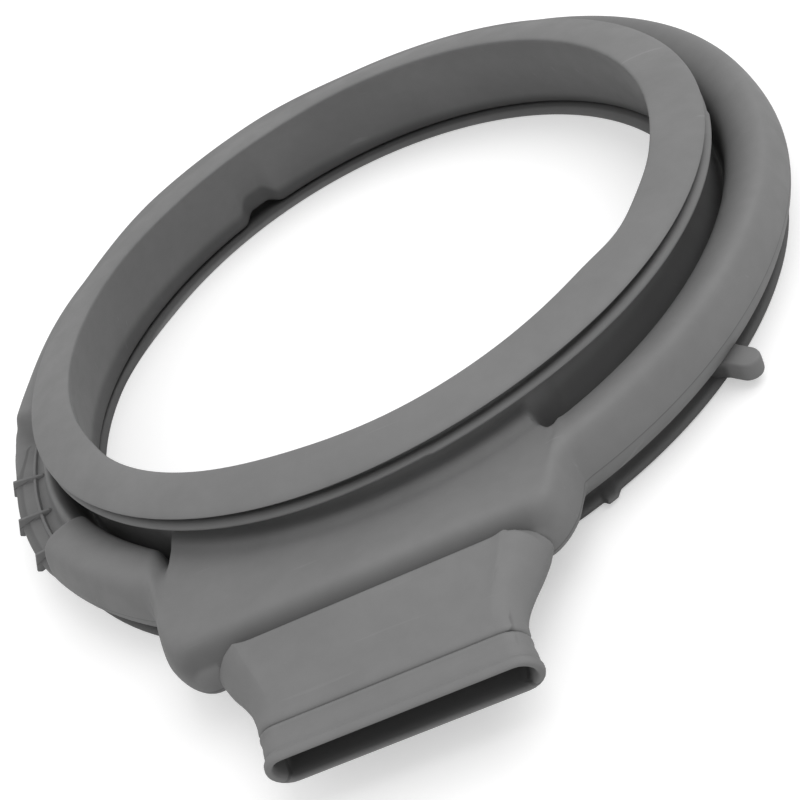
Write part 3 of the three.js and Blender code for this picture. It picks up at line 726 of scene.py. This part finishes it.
# %% The duct's stations
# reach at the top, at the sides and underneath, half width, rise, drop, flank, power of the flank
NECK_STATIONS = (
    (206.9, 211.5, 206.0, 61.8, 7.9, 10.2, 9.5, 1.15),
    (208.2, 213.2, 208.2, 61.2, 9.2, 10.8, 9.5, 1.15),
    (209.0, 214.6, 210.0, 60.5, 11.2, 11.3, 9.5, 1.15),
    (209.9, 216.2, 211.6, 59.6, 12.0, 11.6, 9.6, 1.15),
    (213.0, 218.6, 214.0, 58.2, 11.7, 11.5, 9.6, 1.15),
    (218.0, 221.8, 218.0, 56.2, 10.7, 10.8, 9.6, 1.15),
    (225.0, 226.6, 225.0, 52.6, 9.5, 9.6, 9.4, 1.15),
    (232.0, 232.2, 232.0, 49.2, 8.2, 8.2, 8.8, 1.12),
    (238.0, 238.0, 238.0, 47.2, 7.2, 7.1, 8.0, 1.06),
)
# reach, half width, rise, drop, flank
CUFF_STATIONS = (
    (242.4, 46.3, 6.7, 6.6, 7.3),
    (243.0, 45.5, 5.9, 5.8, 7.0),
    (243.5, 46.4, 7.0, 6.7, 7.3),
    (244.4, 46.7, 7.3, 7.0, 7.4),
    (245.6, 46.4, 7.0, 6.7, 7.2),
    (251.6, 46.3, 6.9, 6.6, 7.1),
    (252.7, 46.1, 6.7, 6.5, 7.1),
    (253.4, 46.6, 7.1, 6.9, 7.2),
    (255.2, 46.7, 7.2, 6.9, 7.2),
    (256.1, 46.3, 6.8, 6.6, 7.0),
    (256.4, 45.4, 6.4, 6.3, 6.5),
    (256.35, 44.6, 5.9, 5.9, 5.9),
    (255.8, 44.1, 5.6, 5.6, 5.6),
    (250.0, 44.0, 5.6, 5.6, 5.6),
    (242.0, 43.8, 5.6, 5.6, 5.6),
)
# reach, half width, rise, drop, flank, power of the flank
PASSAGE_STATIONS = (
    (232.0, 45.0, 6.2, 6.2, 6.0, 1.05),
    (222.0, 51.0, 6.8, 7.4, 7.0, 1.1),
    (213.0, 57.0, 6.4, 8.4, 8.0, 1.1),
)
loops = [grid_points(outer_rim)]
loops += [duct_loop(*station) for station in NECK_STATIONS]
loops += [duct_loop(reach, reach, reach, *shape, 1.0) for reach, *shape in CUFF_STATIONS]
loops += [duct_loop(reach, reach, reach, *shape) for reach, *shape in PASSAGE_STATIONS]
loops.append(grid_points(inner_rim))
loops = np.array(loops)
print("duct loops:", loops.shape)

# %% [markdown]
# The loops are joined with cubic curves. At both rims the curve leaves along the shoulder's own
# skin, which makes the fillet.

# %% Fair the duct
SUBSTEPS = 3


def rim_before(rows, step_rows):
    ghost = []
    for c, r in rim_indices(rows):
        dc = -1 if c == left else (1 if c == right else 0)
        dr = -step_rows if r == rows[0] else (step_rows if r == rows[-1] else 0)
        ghost.append((c + dc, r + dr))
    return grid_points(ghost)


def unit(v):
    return v / np.maximum(np.linalg.norm(v, axis=-1, keepdims=True), 1e-9)


def hermite_rows(loops, start_tangent, end_tangent):
    gaps = np.linalg.norm(np.diff(loops, axis=0), axis=2)
    gaps = np.maximum(gaps, 0.05)
    tangents = np.empty_like(loops)
    slope = np.diff(loops, axis=0) / gaps[..., None]
    share = (gaps[:-1] / (gaps[:-1] + gaps[1:]))[..., None]
    tangents[1:-1] = slope[:-1] * (1 - share) + slope[1:] * share
    tangents[0], tangents[-1] = start_tangent, end_tangent
    rows = []
    for k in range(len(loops) - 1):
        gap = gaps[k][:, None]
        for t in np.arange(SUBSTEPS) / SUBSTEPS:
            rows.append((2 * t ** 3 - 3 * t ** 2 + 1) * loops[k]
                        + (t ** 3 - 2 * t ** 2 + t) * gap * tangents[k]
                        + (-2 * t ** 3 + 3 * t ** 2) * loops[k + 1]
                        + (t ** 3 - t ** 2) * gap * tangents[k + 1])
    rows.append(loops[-1])
    return np.array(rows)


start = unit(loops[0] - rim_before(out_rows, 1))
end = unit(rim_before(in_rows, -1) - loops[-1])
duct = hermite_rows(loops, start, end)
print("faired duct:", duct.shape)

# %% [markdown]
# Now the sheet is made: the ring's quads without the two openings, then the duct's quads, which use
# the ring's own points along both rims.

# %% Gather the quads
keep = np.ones((column_total, row_total), bool)
keep[left:right, out_top:out_low] = False
keep[left:right, in_low:in_top] = False
quads = []
for column in range(column_total):
    next_column = (column + 1) % column_total
    for row in range(row_total):
        if keep[column, row]:
            next_row = (row + 1) % row_total
            quads.append((column * row_total + row, column * row_total + next_row,
                          next_column * row_total + next_row, next_column * row_total + row))
around = len(outer_rim)


def duct_id(k, j):
    j %= around
    if k == 0:
        return outer_rim[j][0] * row_total + outer_rim[j][1]
    if k == len(duct) - 1:
        return inner_rim[j][0] * row_total + inner_rim[j][1]
    return column_total * row_total + (k - 1) * around + j


for k in range(len(duct) - 1):
    for j in range(around):
        quads.append((duct_id(k, j + 1), duct_id(k, j), duct_id(k + 1, j), duct_id(k + 1, j + 1)))
vertices = np.concatenate([grid.reshape(-1, 3), duct[1:-1].reshape(-1, 3)]) / 1000.0
print("quads:", len(quads), "points:", len(vertices))

# %% [markdown]
# A mesh made from lists keeps the points that no face uses, here those inside the two openings.
# BMesh deletes them, and counts the open edges, of which a closed moulding has none.

# %% Build the sheet
mesh = bpy.data.meshes.new("seal_sheet")
mesh.from_pydata(vertices.tolist(), [], quads)
work = bmesh.new()
work.from_mesh(mesh)
bmesh.ops.delete(work, geom=[v for v in work.verts if not v.link_faces], context="VERTS")
open_edges = sum(1 for e in work.edges if not e.is_manifold)
volume = round(work.calc_volume() * 1e6, 1)
print("sheet:", len(work.faces), "quads,", open_edges, "open edges, volume", volume, "cm3")
work.to_mesh(mesh)
work.free()
seal = bpy.data.objects.new("door_seal_skin", mesh)
bpy.context.collection.objects.link(seal)

# %% [markdown]
# A long rib lies in the pocket and stiffens its floor. It is a bar with rounded shoulders, bent
# round the ring's axis, and its ends narrow so that they don't stand out as cut.

# %% The long rib
RIB_STEPS = 56
RIB_ROUNDING = 0.5
# each corner of the bar's upper edge: from the middle in half thicknesses, and below the top in mm
RIB_SHOULDERS = ((1, RIB_ROUNDING), (0.8, 0.12), (0.3, 0.0), (-0.3, 0.0), (-0.8, 0.12), (-1, RIB_ROUNDING))


def mesh_object(name, work):
    bmesh.ops.recalc_face_normals(work, faces=work.faces)
    mesh = bpy.data.meshes.new(name)
    work.to_mesh(mesh)
    work.free()
    obj = bpy.data.objects.new(name, mesh)
    bpy.context.collection.objects.link(obj)
    return obj


def arc_rib(name, radius, thick, low, high, start, stop):
    work = bmesh.new()
    corners = [(-1, low), (1, low)] + [(side, high - below) for side, below in RIB_SHOULDERS]
    rings = []
    for i in range(RIB_STEPS + 1):
        share = i / RIB_STEPS
        angle = math.radians(mix(start, stop, share))
        half = thick / 2.0 * max(0.15, math.sqrt(max(0.0, 1.0 - abs(2.0 * share - 1.0) ** 40)))
        ring = []
        for side, z in corners:
            r = radius + side * half
            ring.append(work.verts.new((r * math.sin(angle) / 1000, -r * math.cos(angle) / 1000, z / 1000)))
        rings.append(ring)
    for a, b in zip(rings, rings[1:]):
        for k in range(len(corners)):
            n = (k + 1) % len(corners)
            work.faces.new((a[k], b[k], b[n], a[n]))
    work.faces.new(rings[0])
    work.faces.new(rings[-1])
    return mesh_object(name, work)


RIB_FOOT = POCKET_FLOOR - 2.0
rib = arc_rib("long_rib", LONG_RIB_RADIUS, RIB_THICK, RIB_FOOT, LONG_RIB_TOP, POCKET_FROM, POCKET_TO)
print("long rib:", len(rib.data.polygons), "faces")

# %% [markdown]
# Three thin cross ribs stand over the long one and reach past the bulge. One of them is drawn as an
# outline with two sides, pointing at the duct, and gets a small bevel.

# %% One cross rib
CROSS_INNER = 182.5
CROSS_OUTER = 202.0
CROSS_CREST = 26.8
CROSS_LOW = 19.7
CROSS_BEVEL = 0.35
work = bmesh.new()
rib_outline = (
    (CROSS_INNER, POCKET_FLOOR - 1.5),
    (BULGE_RADIUS - 1.8, CROSS_LOW - 1.8),
    (CROSS_OUTER - 1.4, CROSS_LOW - 1.5),
    (CROSS_OUTER, CROSS_LOW),
    (BULGE_RADIUS, CROSS_CREST),
    (LONG_RIB_RADIUS, LONG_RIB_TOP + 0.8),
    (CROSS_INNER + 1.4, LONG_RIB_TOP - 0.6),
)
sides = [[work.verts.new((side * RIB_THICK / 2000, -r / 1000, z / 1000)) for r, z in rib_outline]
         for side in (-1, 1)]
work.faces.new(sides[0])
work.faces.new(sides[1][::-1])
for k in range(len(rib_outline)):
    n = (k + 1) % len(rib_outline)
    work.faces.new((sides[0][k], sides[1][k], sides[1][n], sides[0][n]))
bmesh.ops.bevel(work, geom=list(work.edges), offset=CROSS_BEVEL / 1000, segments=2, affect="EDGES",
                profile=0.6)
plate = mesh_object("cross_rib_plate", work)
print("cross rib:", len(plate.data.polygons), "faces")

# %% [markdown]
# The ribs repeat at an even pitch, so Geometry Nodes place them: a Mesh Line of points that all lie
# on the axis, an instance on each, turned by its index times the pitch. Copies made by hand would
# have to be turned again after every change.

# %% A node tree that repeats a plate round an axis
CROSS_FIRST = -78.4
CROSS_PITCH = 9.6
CROSS_COUNT = 3
tree = bpy.data.node_groups.new("Ribs round an axis", "GeometryNodeTree")
sockets = {}
for name, kind, value in (("Plate", "NodeSocketObject", None), ("Count", "NodeSocketInt", CROSS_COUNT),
                          ("First angle", "NodeSocketFloat", math.radians(CROSS_FIRST)),
                          ("Pitch", "NodeSocketFloat", math.radians(CROSS_PITCH)),
                          ("Material", "NodeSocketMaterial", None)):
    item = tree.interface.new_socket(name, in_out="INPUT", socket_type=kind)
    if value is not None:
        item.default_value = value
    sockets[name] = item.identifier
tree.interface.new_socket("Geometry", in_out="OUTPUT", socket_type="NodeSocketGeometry")


def add_node(kind, place, **settings):
    node = tree.nodes.new(kind)
    node.location = place
    for key, value in settings.items():
        setattr(node, key, value)
    return node


given = add_node("NodeGroupInput", (-900, 0))
line = add_node("GeometryNodeMeshLine", (-650, 150))
info = add_node("GeometryNodeObjectInfo", (-650, -150))
index = add_node("GeometryNodeInputIndex", (-900, -350))
turn = add_node("ShaderNodeMath", (-650, -400), operation="MULTIPLY_ADD")
spin = add_node("ShaderNodeCombineXYZ", (-450, -400))
place = add_node("GeometryNodeInstanceOnPoints", (-250, 100))
real = add_node("GeometryNodeRealizeInstances", (0, 100))
paint = add_node("GeometryNodeSetMaterial", (200, 100))
result = add_node("NodeGroupOutput", (400, 100))
line.inputs["Offset"].default_value = (0, 0, 0)
for a, b in ((given.outputs["Count"], line.inputs["Count"]),
             (given.outputs["Plate"], info.inputs["Object"]),
             (index.outputs[0], turn.inputs[0]),
             (given.outputs["Pitch"], turn.inputs[1]),
             (given.outputs["First angle"], turn.inputs[2]),
             (turn.outputs[0], spin.inputs["Z"]),
             (line.outputs["Mesh"], place.inputs["Points"]),
             (info.outputs["Geometry"], place.inputs["Instance"]),
             (spin.outputs[0], place.inputs["Rotation"]),
             (place.outputs[0], real.inputs[0]),
             (real.outputs[0], paint.inputs["Geometry"]),
             (given.outputs["Material"], paint.inputs["Material"]),
             (paint.outputs[0], result.inputs[0])):
    tree.links.new(a, b)
print("tree nodes:", len(tree.nodes))

# %% [markdown]
# The modifier sits on an empty mesh. Its inputs are set by the sockets' identifiers, and the
# evaluated result is kept as a plain mesh, because the export drops live instances.

# %% The three cross ribs
rubber = bpy.data.materials.new("satin_rubber")
carrier = bpy.data.objects.new("cross_ribs", bpy.data.meshes.new("cross_ribs"))
bpy.context.collection.objects.link(carrier)
modifier = carrier.modifiers.new("ribs", "NODES")
modifier.node_group = tree
modifier[sockets["Plate"]] = plate
modifier[sockets["Material"]] = rubber
bpy.context.view_layer.update()
depsgraph = bpy.context.evaluated_depsgraph_get()
cross = bpy.data.meshes.new_from_object(carrier.evaluated_get(depsgraph))
carrier.modifiers.clear()
carrier.data = cross
bpy.data.objects.remove(plate)
print("cross ribs:", len(cross.polygons), "faces")

# %% [markdown]
# The nub on the right is what a hand pulls when the seal is fitted. It is a stadium outline, stacked
# in levels that draw in at the top and the bottom, so its rim is soft without a bevel.

# %% The nub
NUB_ANGLE = 41.4
NUB_REACH = 205.5
NUB_HALF_WIDTH = 5.2
NUB_HALF_HEIGHT = 4.0
NUB_MIDDLE = 7.6
NUB_ROUNDING = 0.9
NUB_LEVELS = 9
NUB_ROOT = CLAMP_RADIUS - 1.5
NUB_WAIST = RIM_RADIUS + 2.0


def nub_outline(half):
    path = [(NUB_ROOT, -half * 1.5), (NUB_WAIST, -half)]
    path += [(NUB_REACH - NUB_HALF_WIDTH + half * math.sin(a), -half * math.cos(a))
             for a in np.linspace(0.0, math.pi, 15)]
    return path + [(NUB_WAIST, half), (NUB_ROOT, half * 1.5)]


def nub_point(px, py, rise):
    angle = math.radians(NUB_ANGLE - 90.0)
    return ((px * math.cos(angle) - py * math.sin(angle)) / 1000,
            (px * math.sin(angle) + py * math.cos(angle)) / 1000,
            (NUB_MIDDLE + rise * NUB_HALF_HEIGHT) / 1000)


work = bmesh.new()
levels = []
for i in range(NUB_LEVELS):
    share = 2.0 * i / (NUB_LEVELS - 1) - 1.0
    rise = math.copysign(1.0 - (1.0 - abs(share)) ** 2, share)
    inset = NUB_ROUNDING * (1.0 - math.sqrt(max(0.0, 1.0 - abs(rise) ** 6)))
    outline_here = nub_outline(NUB_HALF_WIDTH - inset)
    levels.append([work.verts.new(nub_point(px, py, rise)) for px, py in outline_here])
for a, b in zip(levels, levels[1:]):
    for k in range(len(a)):
        n = (k + 1) % len(a)
        work.faces.new((a[k], a[n], b[n], b[k]))
work.faces.new(levels[0][::-1])
work.faces.new(levels[-1])
nub = mesh_object("nub", work)
print("nub:", len(nub.data.polygons), "faces")

# %% [markdown]
# On the real part all of this is moulded in one, so the meshes are joined into one object. Every
# face is smooth but for the sharp edges of the ribs.

# %% Join
SHARP_FROM = 50
bpy.ops.object.select_all(action="DESELECT")
for obj in (rib, carrier, nub, seal):
    obj.select_set(True)
bpy.context.view_layer.objects.active = seal
bpy.ops.object.join()
moulding = seal.data
moulding.materials.clear()
moulding.materials.append(rubber)
moulding.shade_smooth()
moulding.set_sharp_from_angle(angle=math.radians(SHARP_FROM))
moulding.update()
print("moulding:", sum(len(p.vertices) - 2 for p in moulding.polygons), "triangles")

# %% [markdown]
# The rubber is a plain mid-grey with a satin skin, which a Principled BSDF gives by itself. What
# makes it look used is built from Noise textures on Object coordinates, which need no unwrapping.
# Three helpers keep the node tree short: a noise, a range mapped to another, and a calculation.

# %% Helpers for the rubber
rubber.use_nodes = True
nodes = rubber.node_tree.nodes
links = rubber.node_tree.links
nodes.clear()
coords = nodes.new("ShaderNodeTexCoord")


def noise(scale, detail=2.0, roughness=0.5, vector=None):
    node = nodes.new("ShaderNodeTexNoise")
    node.inputs["Scale"].default_value = scale
    node.inputs["Detail"].default_value = detail
    node.inputs["Roughness"].default_value = roughness
    links.new(vector or coords.outputs["Object"], node.inputs["Vector"])
    return node.outputs["Fac"]


def spread(value, low, high, to_low, to_high):
    node = nodes.new("ShaderNodeMapRange")
    node.interpolation_type = "SMOOTHSTEP"
    for socket, number in zip(("From Min", "From Max", "To Min", "To Max"), (low, high, to_low, to_high)):
        node.inputs[socket].default_value = number
    links.new(value, node.inputs["Value"])
    return node.outputs["Result"]


def calc(operation, *values):
    node = nodes.new("ShaderNodeMath")
    node.operation = operation
    for socket, value in zip(node.inputs, values):
        if isinstance(value, (int, float)):
            socket.default_value = value
        else:
            links.new(value, socket)
    return node.outputs[0]


print("nodes so far:", len(nodes))

# %% [markdown]
# Dust and handling lighten the skin in soft clouds, a finer mottle breaks it up, and a few faint
# scratches cross it. The scratches are a noise that is squeezed into streaks by a Mapping node and
# let through only in patches.

# %% Clouds, mottle and scratches
SCRATCH_LIFT = 0.16
clouds = spread(noise(16.0, 3.0), 0.3, 0.7, 0.95, 1.06)
mottle = spread(noise(140.0, 4.0, 0.6), 0.25, 0.75, 0.975, 1.03)
stretch = nodes.new("ShaderNodeMapping")
stretch.inputs["Rotation"].default_value = (0.2, 0.1, 0.6)
stretch.inputs["Scale"].default_value = (18.0, 420.0, 120.0)
links.new(coords.outputs["Object"], stretch.inputs["Vector"])
streak = spread(noise(1.0, 1.0, 0.5, stretch.outputs[0]), 0.69, 0.76, 0.0, 1.0)
patch = spread(noise(30.0, 1.0), 0.52, 0.66, 0.0, 1.0)
scratch = calc("MULTIPLY", streak, patch)
tone = calc("MULTIPLY_ADD", scratch, SCRATCH_LIFT, calc("MULTIPLY", clouds, mottle))
print("nodes so far:", len(nodes))

# %% [markdown]
# Where the halves of the mould met, a hair line of flash runs round the bulge. It is too thin for
# the mesh, so it is a narrow band about the parting height, which follows the bulge's lean.

# %% The parting line
SEAM_DROP = 0.2
SEAM_CORE = 0.12
SEAM_HALF_WIDTH = 0.4
SEAM_RADII = (190, 192)
split = nodes.new("ShaderNodeSeparateXYZ")
links.new(coords.outputs["Object"], split.inputs[0])
px, py, pz = split.outputs


def rising(value, limits):
    return spread(value, limits[0] / 1000.0, limits[1] / 1000.0, 0.0, 1.0)


def falling(value, limits):
    return spread(value, limits[0] / 1000.0, limits[1] / 1000.0, 1.0, 0.0)


radius = calc("SQRT", calc("ADD", calc("MULTIPLY", px, px), calc("MULTIPLY", py, py)))
lean = calc("ADD", calc("MULTIPLY", px, BACK_LEAN[0]), calc("MULTIPLY", py, BACK_LEAN[1]))
from_seam = calc("SUBTRACT", calc("SUBTRACT", pz, lean), (PARTING_HEIGHT - SEAM_DROP) / 1000.0)
hair = falling(calc("ABSOLUTE", from_seam), (SEAM_CORE, SEAM_HALF_WIDTH))
seam = calc("MULTIPLY", hair, rising(radius, SEAM_RADII))
print("nodes so far:", len(nodes))

# %% [markdown]
# Painted shade darkens the rubber's colour where shade falls: in the valley, down in the groove,
# under the clamp groove and inside the duct. The parting line's flash is darker as well. Each place
# is a mask: a product of soft limits on the radius, the height and the distance ahead, in millimetres.
# A painted image would need an unwrapping, and masks don't.

# %% Painted shade in the hollows, and the darker parting line
VALLEY_MIDDLE = (VALLEY_LEFT + VALLEY_RIGHT) / 2.0
ahead = calc("MULTIPLY", py, -1.0)
off_middle = calc("ABSOLUTE", calc("SUBTRACT", px, VALLEY_MIDDLE / 1000.0))
off_duct = calc("ABSOLUTE", calc("SUBTRACT", px, DUCT_MIDDLE_AT_MOUTH / 1000.0))
off_height = calc("ABSOLUTE", calc("SUBTRACT", pz, DUCT_HEIGHT / 1000.0))
# how much darker each place is painted, for shade or for the flash, and the soft limits that hold it
PAINTED_SHADE_AND_SEAM = (
    ("valley", 0.34, (rising(ahead, (198.5, 206.5)), falling(ahead, (207.6, 209.2)),
                      rising(pz, (24, 31)), falling(off_middle, (60, 78)))),
    ("groove", 0.42, (rising(radius, (158.5, 160.5)), falling(radius, (172, 178)), falling(pz, (26, 34)))),
    ("clamp groove", 0.5, (rising(radius, (179, 184)), falling(radius, (193.5, 196.5)),
                           falling(pz, (8.5, 12.5)))),
    ("duct inside", 0.5, (falling(off_height, (5.7, 6.2)), falling(ahead, (254.5, 256.0)),
                          rising(ahead, (226, 232)), falling(off_duct, (40.5, 42.5)))),
    ("parting line", 0.3, (seam,)),
)
# painted shade: the valley, groove, clamp groove and duct masks darken the colour where shade falls; the
# parting line's mask darkens its flash
for place_name, darker, limits in PAINTED_SHADE_AND_SEAM:
    mask = limits[0]
    for limit in limits[1:]:
        mask = calc("MULTIPLY", mask, limit)
    tone = calc("MULTIPLY", tone, calc("MULTIPLY_ADD", mask, -darker, 1.0))
    print(place_name, "is", darker, "darker")

# %% [markdown]
# The tone multiplies one skin colour, and the roughness wanders a little. Flash and grain go into a
# Bump node: both are far below a tenth of a millimetre, where geometry would be wasted.

# %% The satin skin
SKIN = (0.175, 0.175, 0.175, 1.0)
GRAIN_SHARE = 0.16
shader = nodes.new("ShaderNodeBsdfPrincipled")
shader.inputs["Specular IOR Level"].default_value = 0.35
output = nodes.new("ShaderNodeOutputMaterial")
links.new(shader.outputs[0], output.inputs[0])
grey = nodes.new("ShaderNodeCombineColor")
for channel in ("Red", "Green", "Blue"):
    links.new(tone, grey.inputs[channel])
skin = nodes.new("ShaderNodeMix")
skin.data_type = "RGBA"
skin.blend_type = "MULTIPLY"
skin.inputs["Factor"].default_value = 1.0
skin.inputs["A"].default_value = SKIN
links.new(grey.outputs[0], skin.inputs["B"])
links.new(skin.outputs["Result"], shader.inputs["Base Color"])
links.new(spread(noise(60.0, 3.0), 0.3, 0.7, 0.5, 0.62), shader.inputs["Roughness"])
grain = noise(2600.0, 2.0, 0.6)
relief = calc("MULTIPLY_ADD", seam, 1.0, calc("MULTIPLY", grain, GRAIN_SHARE))
bump = nodes.new("ShaderNodeBump")
bump.inputs["Strength"].default_value = 0.35
bump.inputs["Distance"].default_value = 0.0003
links.new(relief, bump.inputs["Height"])
links.new(bump.outputs[0], shader.inputs["Normal"])
print("rubber nodes:", len(nodes))

# %% [markdown]
# The finished moulding rides on the part's one body and stands for the CAD solid, which is hidden.

seal.name = "door_seal_moulding"
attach(seal, "root")
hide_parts("door_seal")
print("piece:", seal.name)

# %% [markdown]
# The photograph is cut out on white. A pale floor still takes a trace of shadow, so that the seal
# lies on something, and a little emission that only the camera sees keeps the floor white.

# %% Floor
FLOOR_HALF = 6
FLOOR_GREY = (0.72, 0.72, 0.72, 1)
FLOOR_GLOW = 0.42
floor_mesh = bpy.data.meshes.new("floor")
corners = [(-FLOOR_HALF, -FLOOR_HALF, 0), (FLOOR_HALF, -FLOOR_HALF, 0),
           (FLOOR_HALF, FLOOR_HALF, 0), (-FLOOR_HALF, FLOOR_HALF, 0)]
floor_mesh.from_pydata(corners, [], [(0, 1, 2, 3)])
floor = bpy.data.objects.new("floor", floor_mesh)
bpy.context.collection.objects.link(floor)
paper = bpy.data.materials.new("white_paper")
paper.use_nodes = True
sheet = paper.node_tree.nodes["Principled BSDF"]
sheet.inputs["Base Color"].default_value = FLOOR_GREY
sheet.inputs["Roughness"].default_value = 0.9
sheet.inputs["Specular IOR Level"].default_value = 0.0
sheet.inputs["Emission Color"].default_value = (1, 1, 1, 1)
floor_rays = paper.node_tree.nodes.new("ShaderNodeLightPath")
glow = paper.node_tree.nodes.new("ShaderNodeMath")
glow.operation = "MULTIPLY"
glow.inputs[1].default_value = FLOOR_GLOW
paper.node_tree.links.new(floor_rays.outputs["Is Camera Ray"], glow.inputs[0])
paper.node_tree.links.new(glow.outputs[0], sheet.inputs["Emission Strength"])
floor.data.materials.append(paper)
print("floor:", 2 * FLOOR_HALF, "m square")

# %% [markdown]
# The light is soft and comes from all round. A white world does that: it is pure white to the
# camera and a little weaker as a lamp, and one wide softbox from the right shapes the bulge.

# %% Light
WORLD_LIGHT = 0.78
WORLD_SEEN = 1.0
LAMP_SIZE = 2.0
LAMP_WATTS = 22.0
LAMP_PLACE = (1.0, 0.2, 2.0)
world = bpy.data.worlds.new("studio")
bpy.context.scene.world = world
world.use_nodes = True
sky = world.node_tree.nodes["Background"]
sky.inputs["Color"].default_value = (1, 1, 1, 1)
rays = world.node_tree.nodes.new("ShaderNodeLightPath")
seen = world.node_tree.nodes.new("ShaderNodeMix")
seen.data_type = "FLOAT"
seen.inputs["A"].default_value = WORLD_LIGHT
seen.inputs["B"].default_value = WORLD_SEEN
world.node_tree.links.new(rays.outputs["Is Camera Ray"], seen.inputs["Factor"])
world.node_tree.links.new(seen.outputs["Result"], sky.inputs["Strength"])
lamp_data = bpy.data.lights.new("softbox", "AREA")
lamp_data.shape = "RECTANGLE"
lamp_data.size = LAMP_SIZE
lamp_data.size_y = LAMP_SIZE
lamp_data.energy = LAMP_WATTS
lamp = bpy.data.objects.new("softbox", lamp_data)
bpy.context.collection.objects.link(lamp)
lamp.location = LAMP_PLACE
lamp.rotation_euler = (-lamp.location).to_track_quat("-Z", "Y").to_euler()
print("softbox:", LAMP_WATTS, "W")

# %% [markdown]
# The camera was found from the picture: the lip, the rear bore and the bulge are circles of known
# ratio, and their ellipses fix where it stands. It looks at a point on the floor and is rolled, which
# is why the ring seems to stand on one side.

# %% Camera
CAMERA_PLACE = Vector((0.0919, -0.4637, 0.2900))
CAMERA_AIM = Vector((-0.00195, -0.07282, 0.0))
CAMERA_ROLL = -32.48
CAMERA_LENS = 50.65
camera_data = bpy.data.cameras.new("camera")
camera_data.sensor_width = 36.0
camera_data.lens = CAMERA_LENS
camera_data.clip_start = 0.01
camera_data.clip_end = 50.0
camera = bpy.data.objects.new("camera", camera_data)
bpy.context.collection.objects.link(camera)
look = (CAMERA_AIM - CAMERA_PLACE).to_track_quat("-Z", "Y")
roll = Quaternion((0.0, 0.0, 1.0), math.radians(CAMERA_ROLL))
camera.matrix_world = Matrix.LocRotScale(CAMERA_PLACE, look @ roll, None)
scene = bpy.context.scene
scene.camera = camera
scene.view_settings.view_transform = "Standard"
print("camera turns:", [[round(v, 4) for v in row[:3]] for row in camera.matrix_world[:3]])
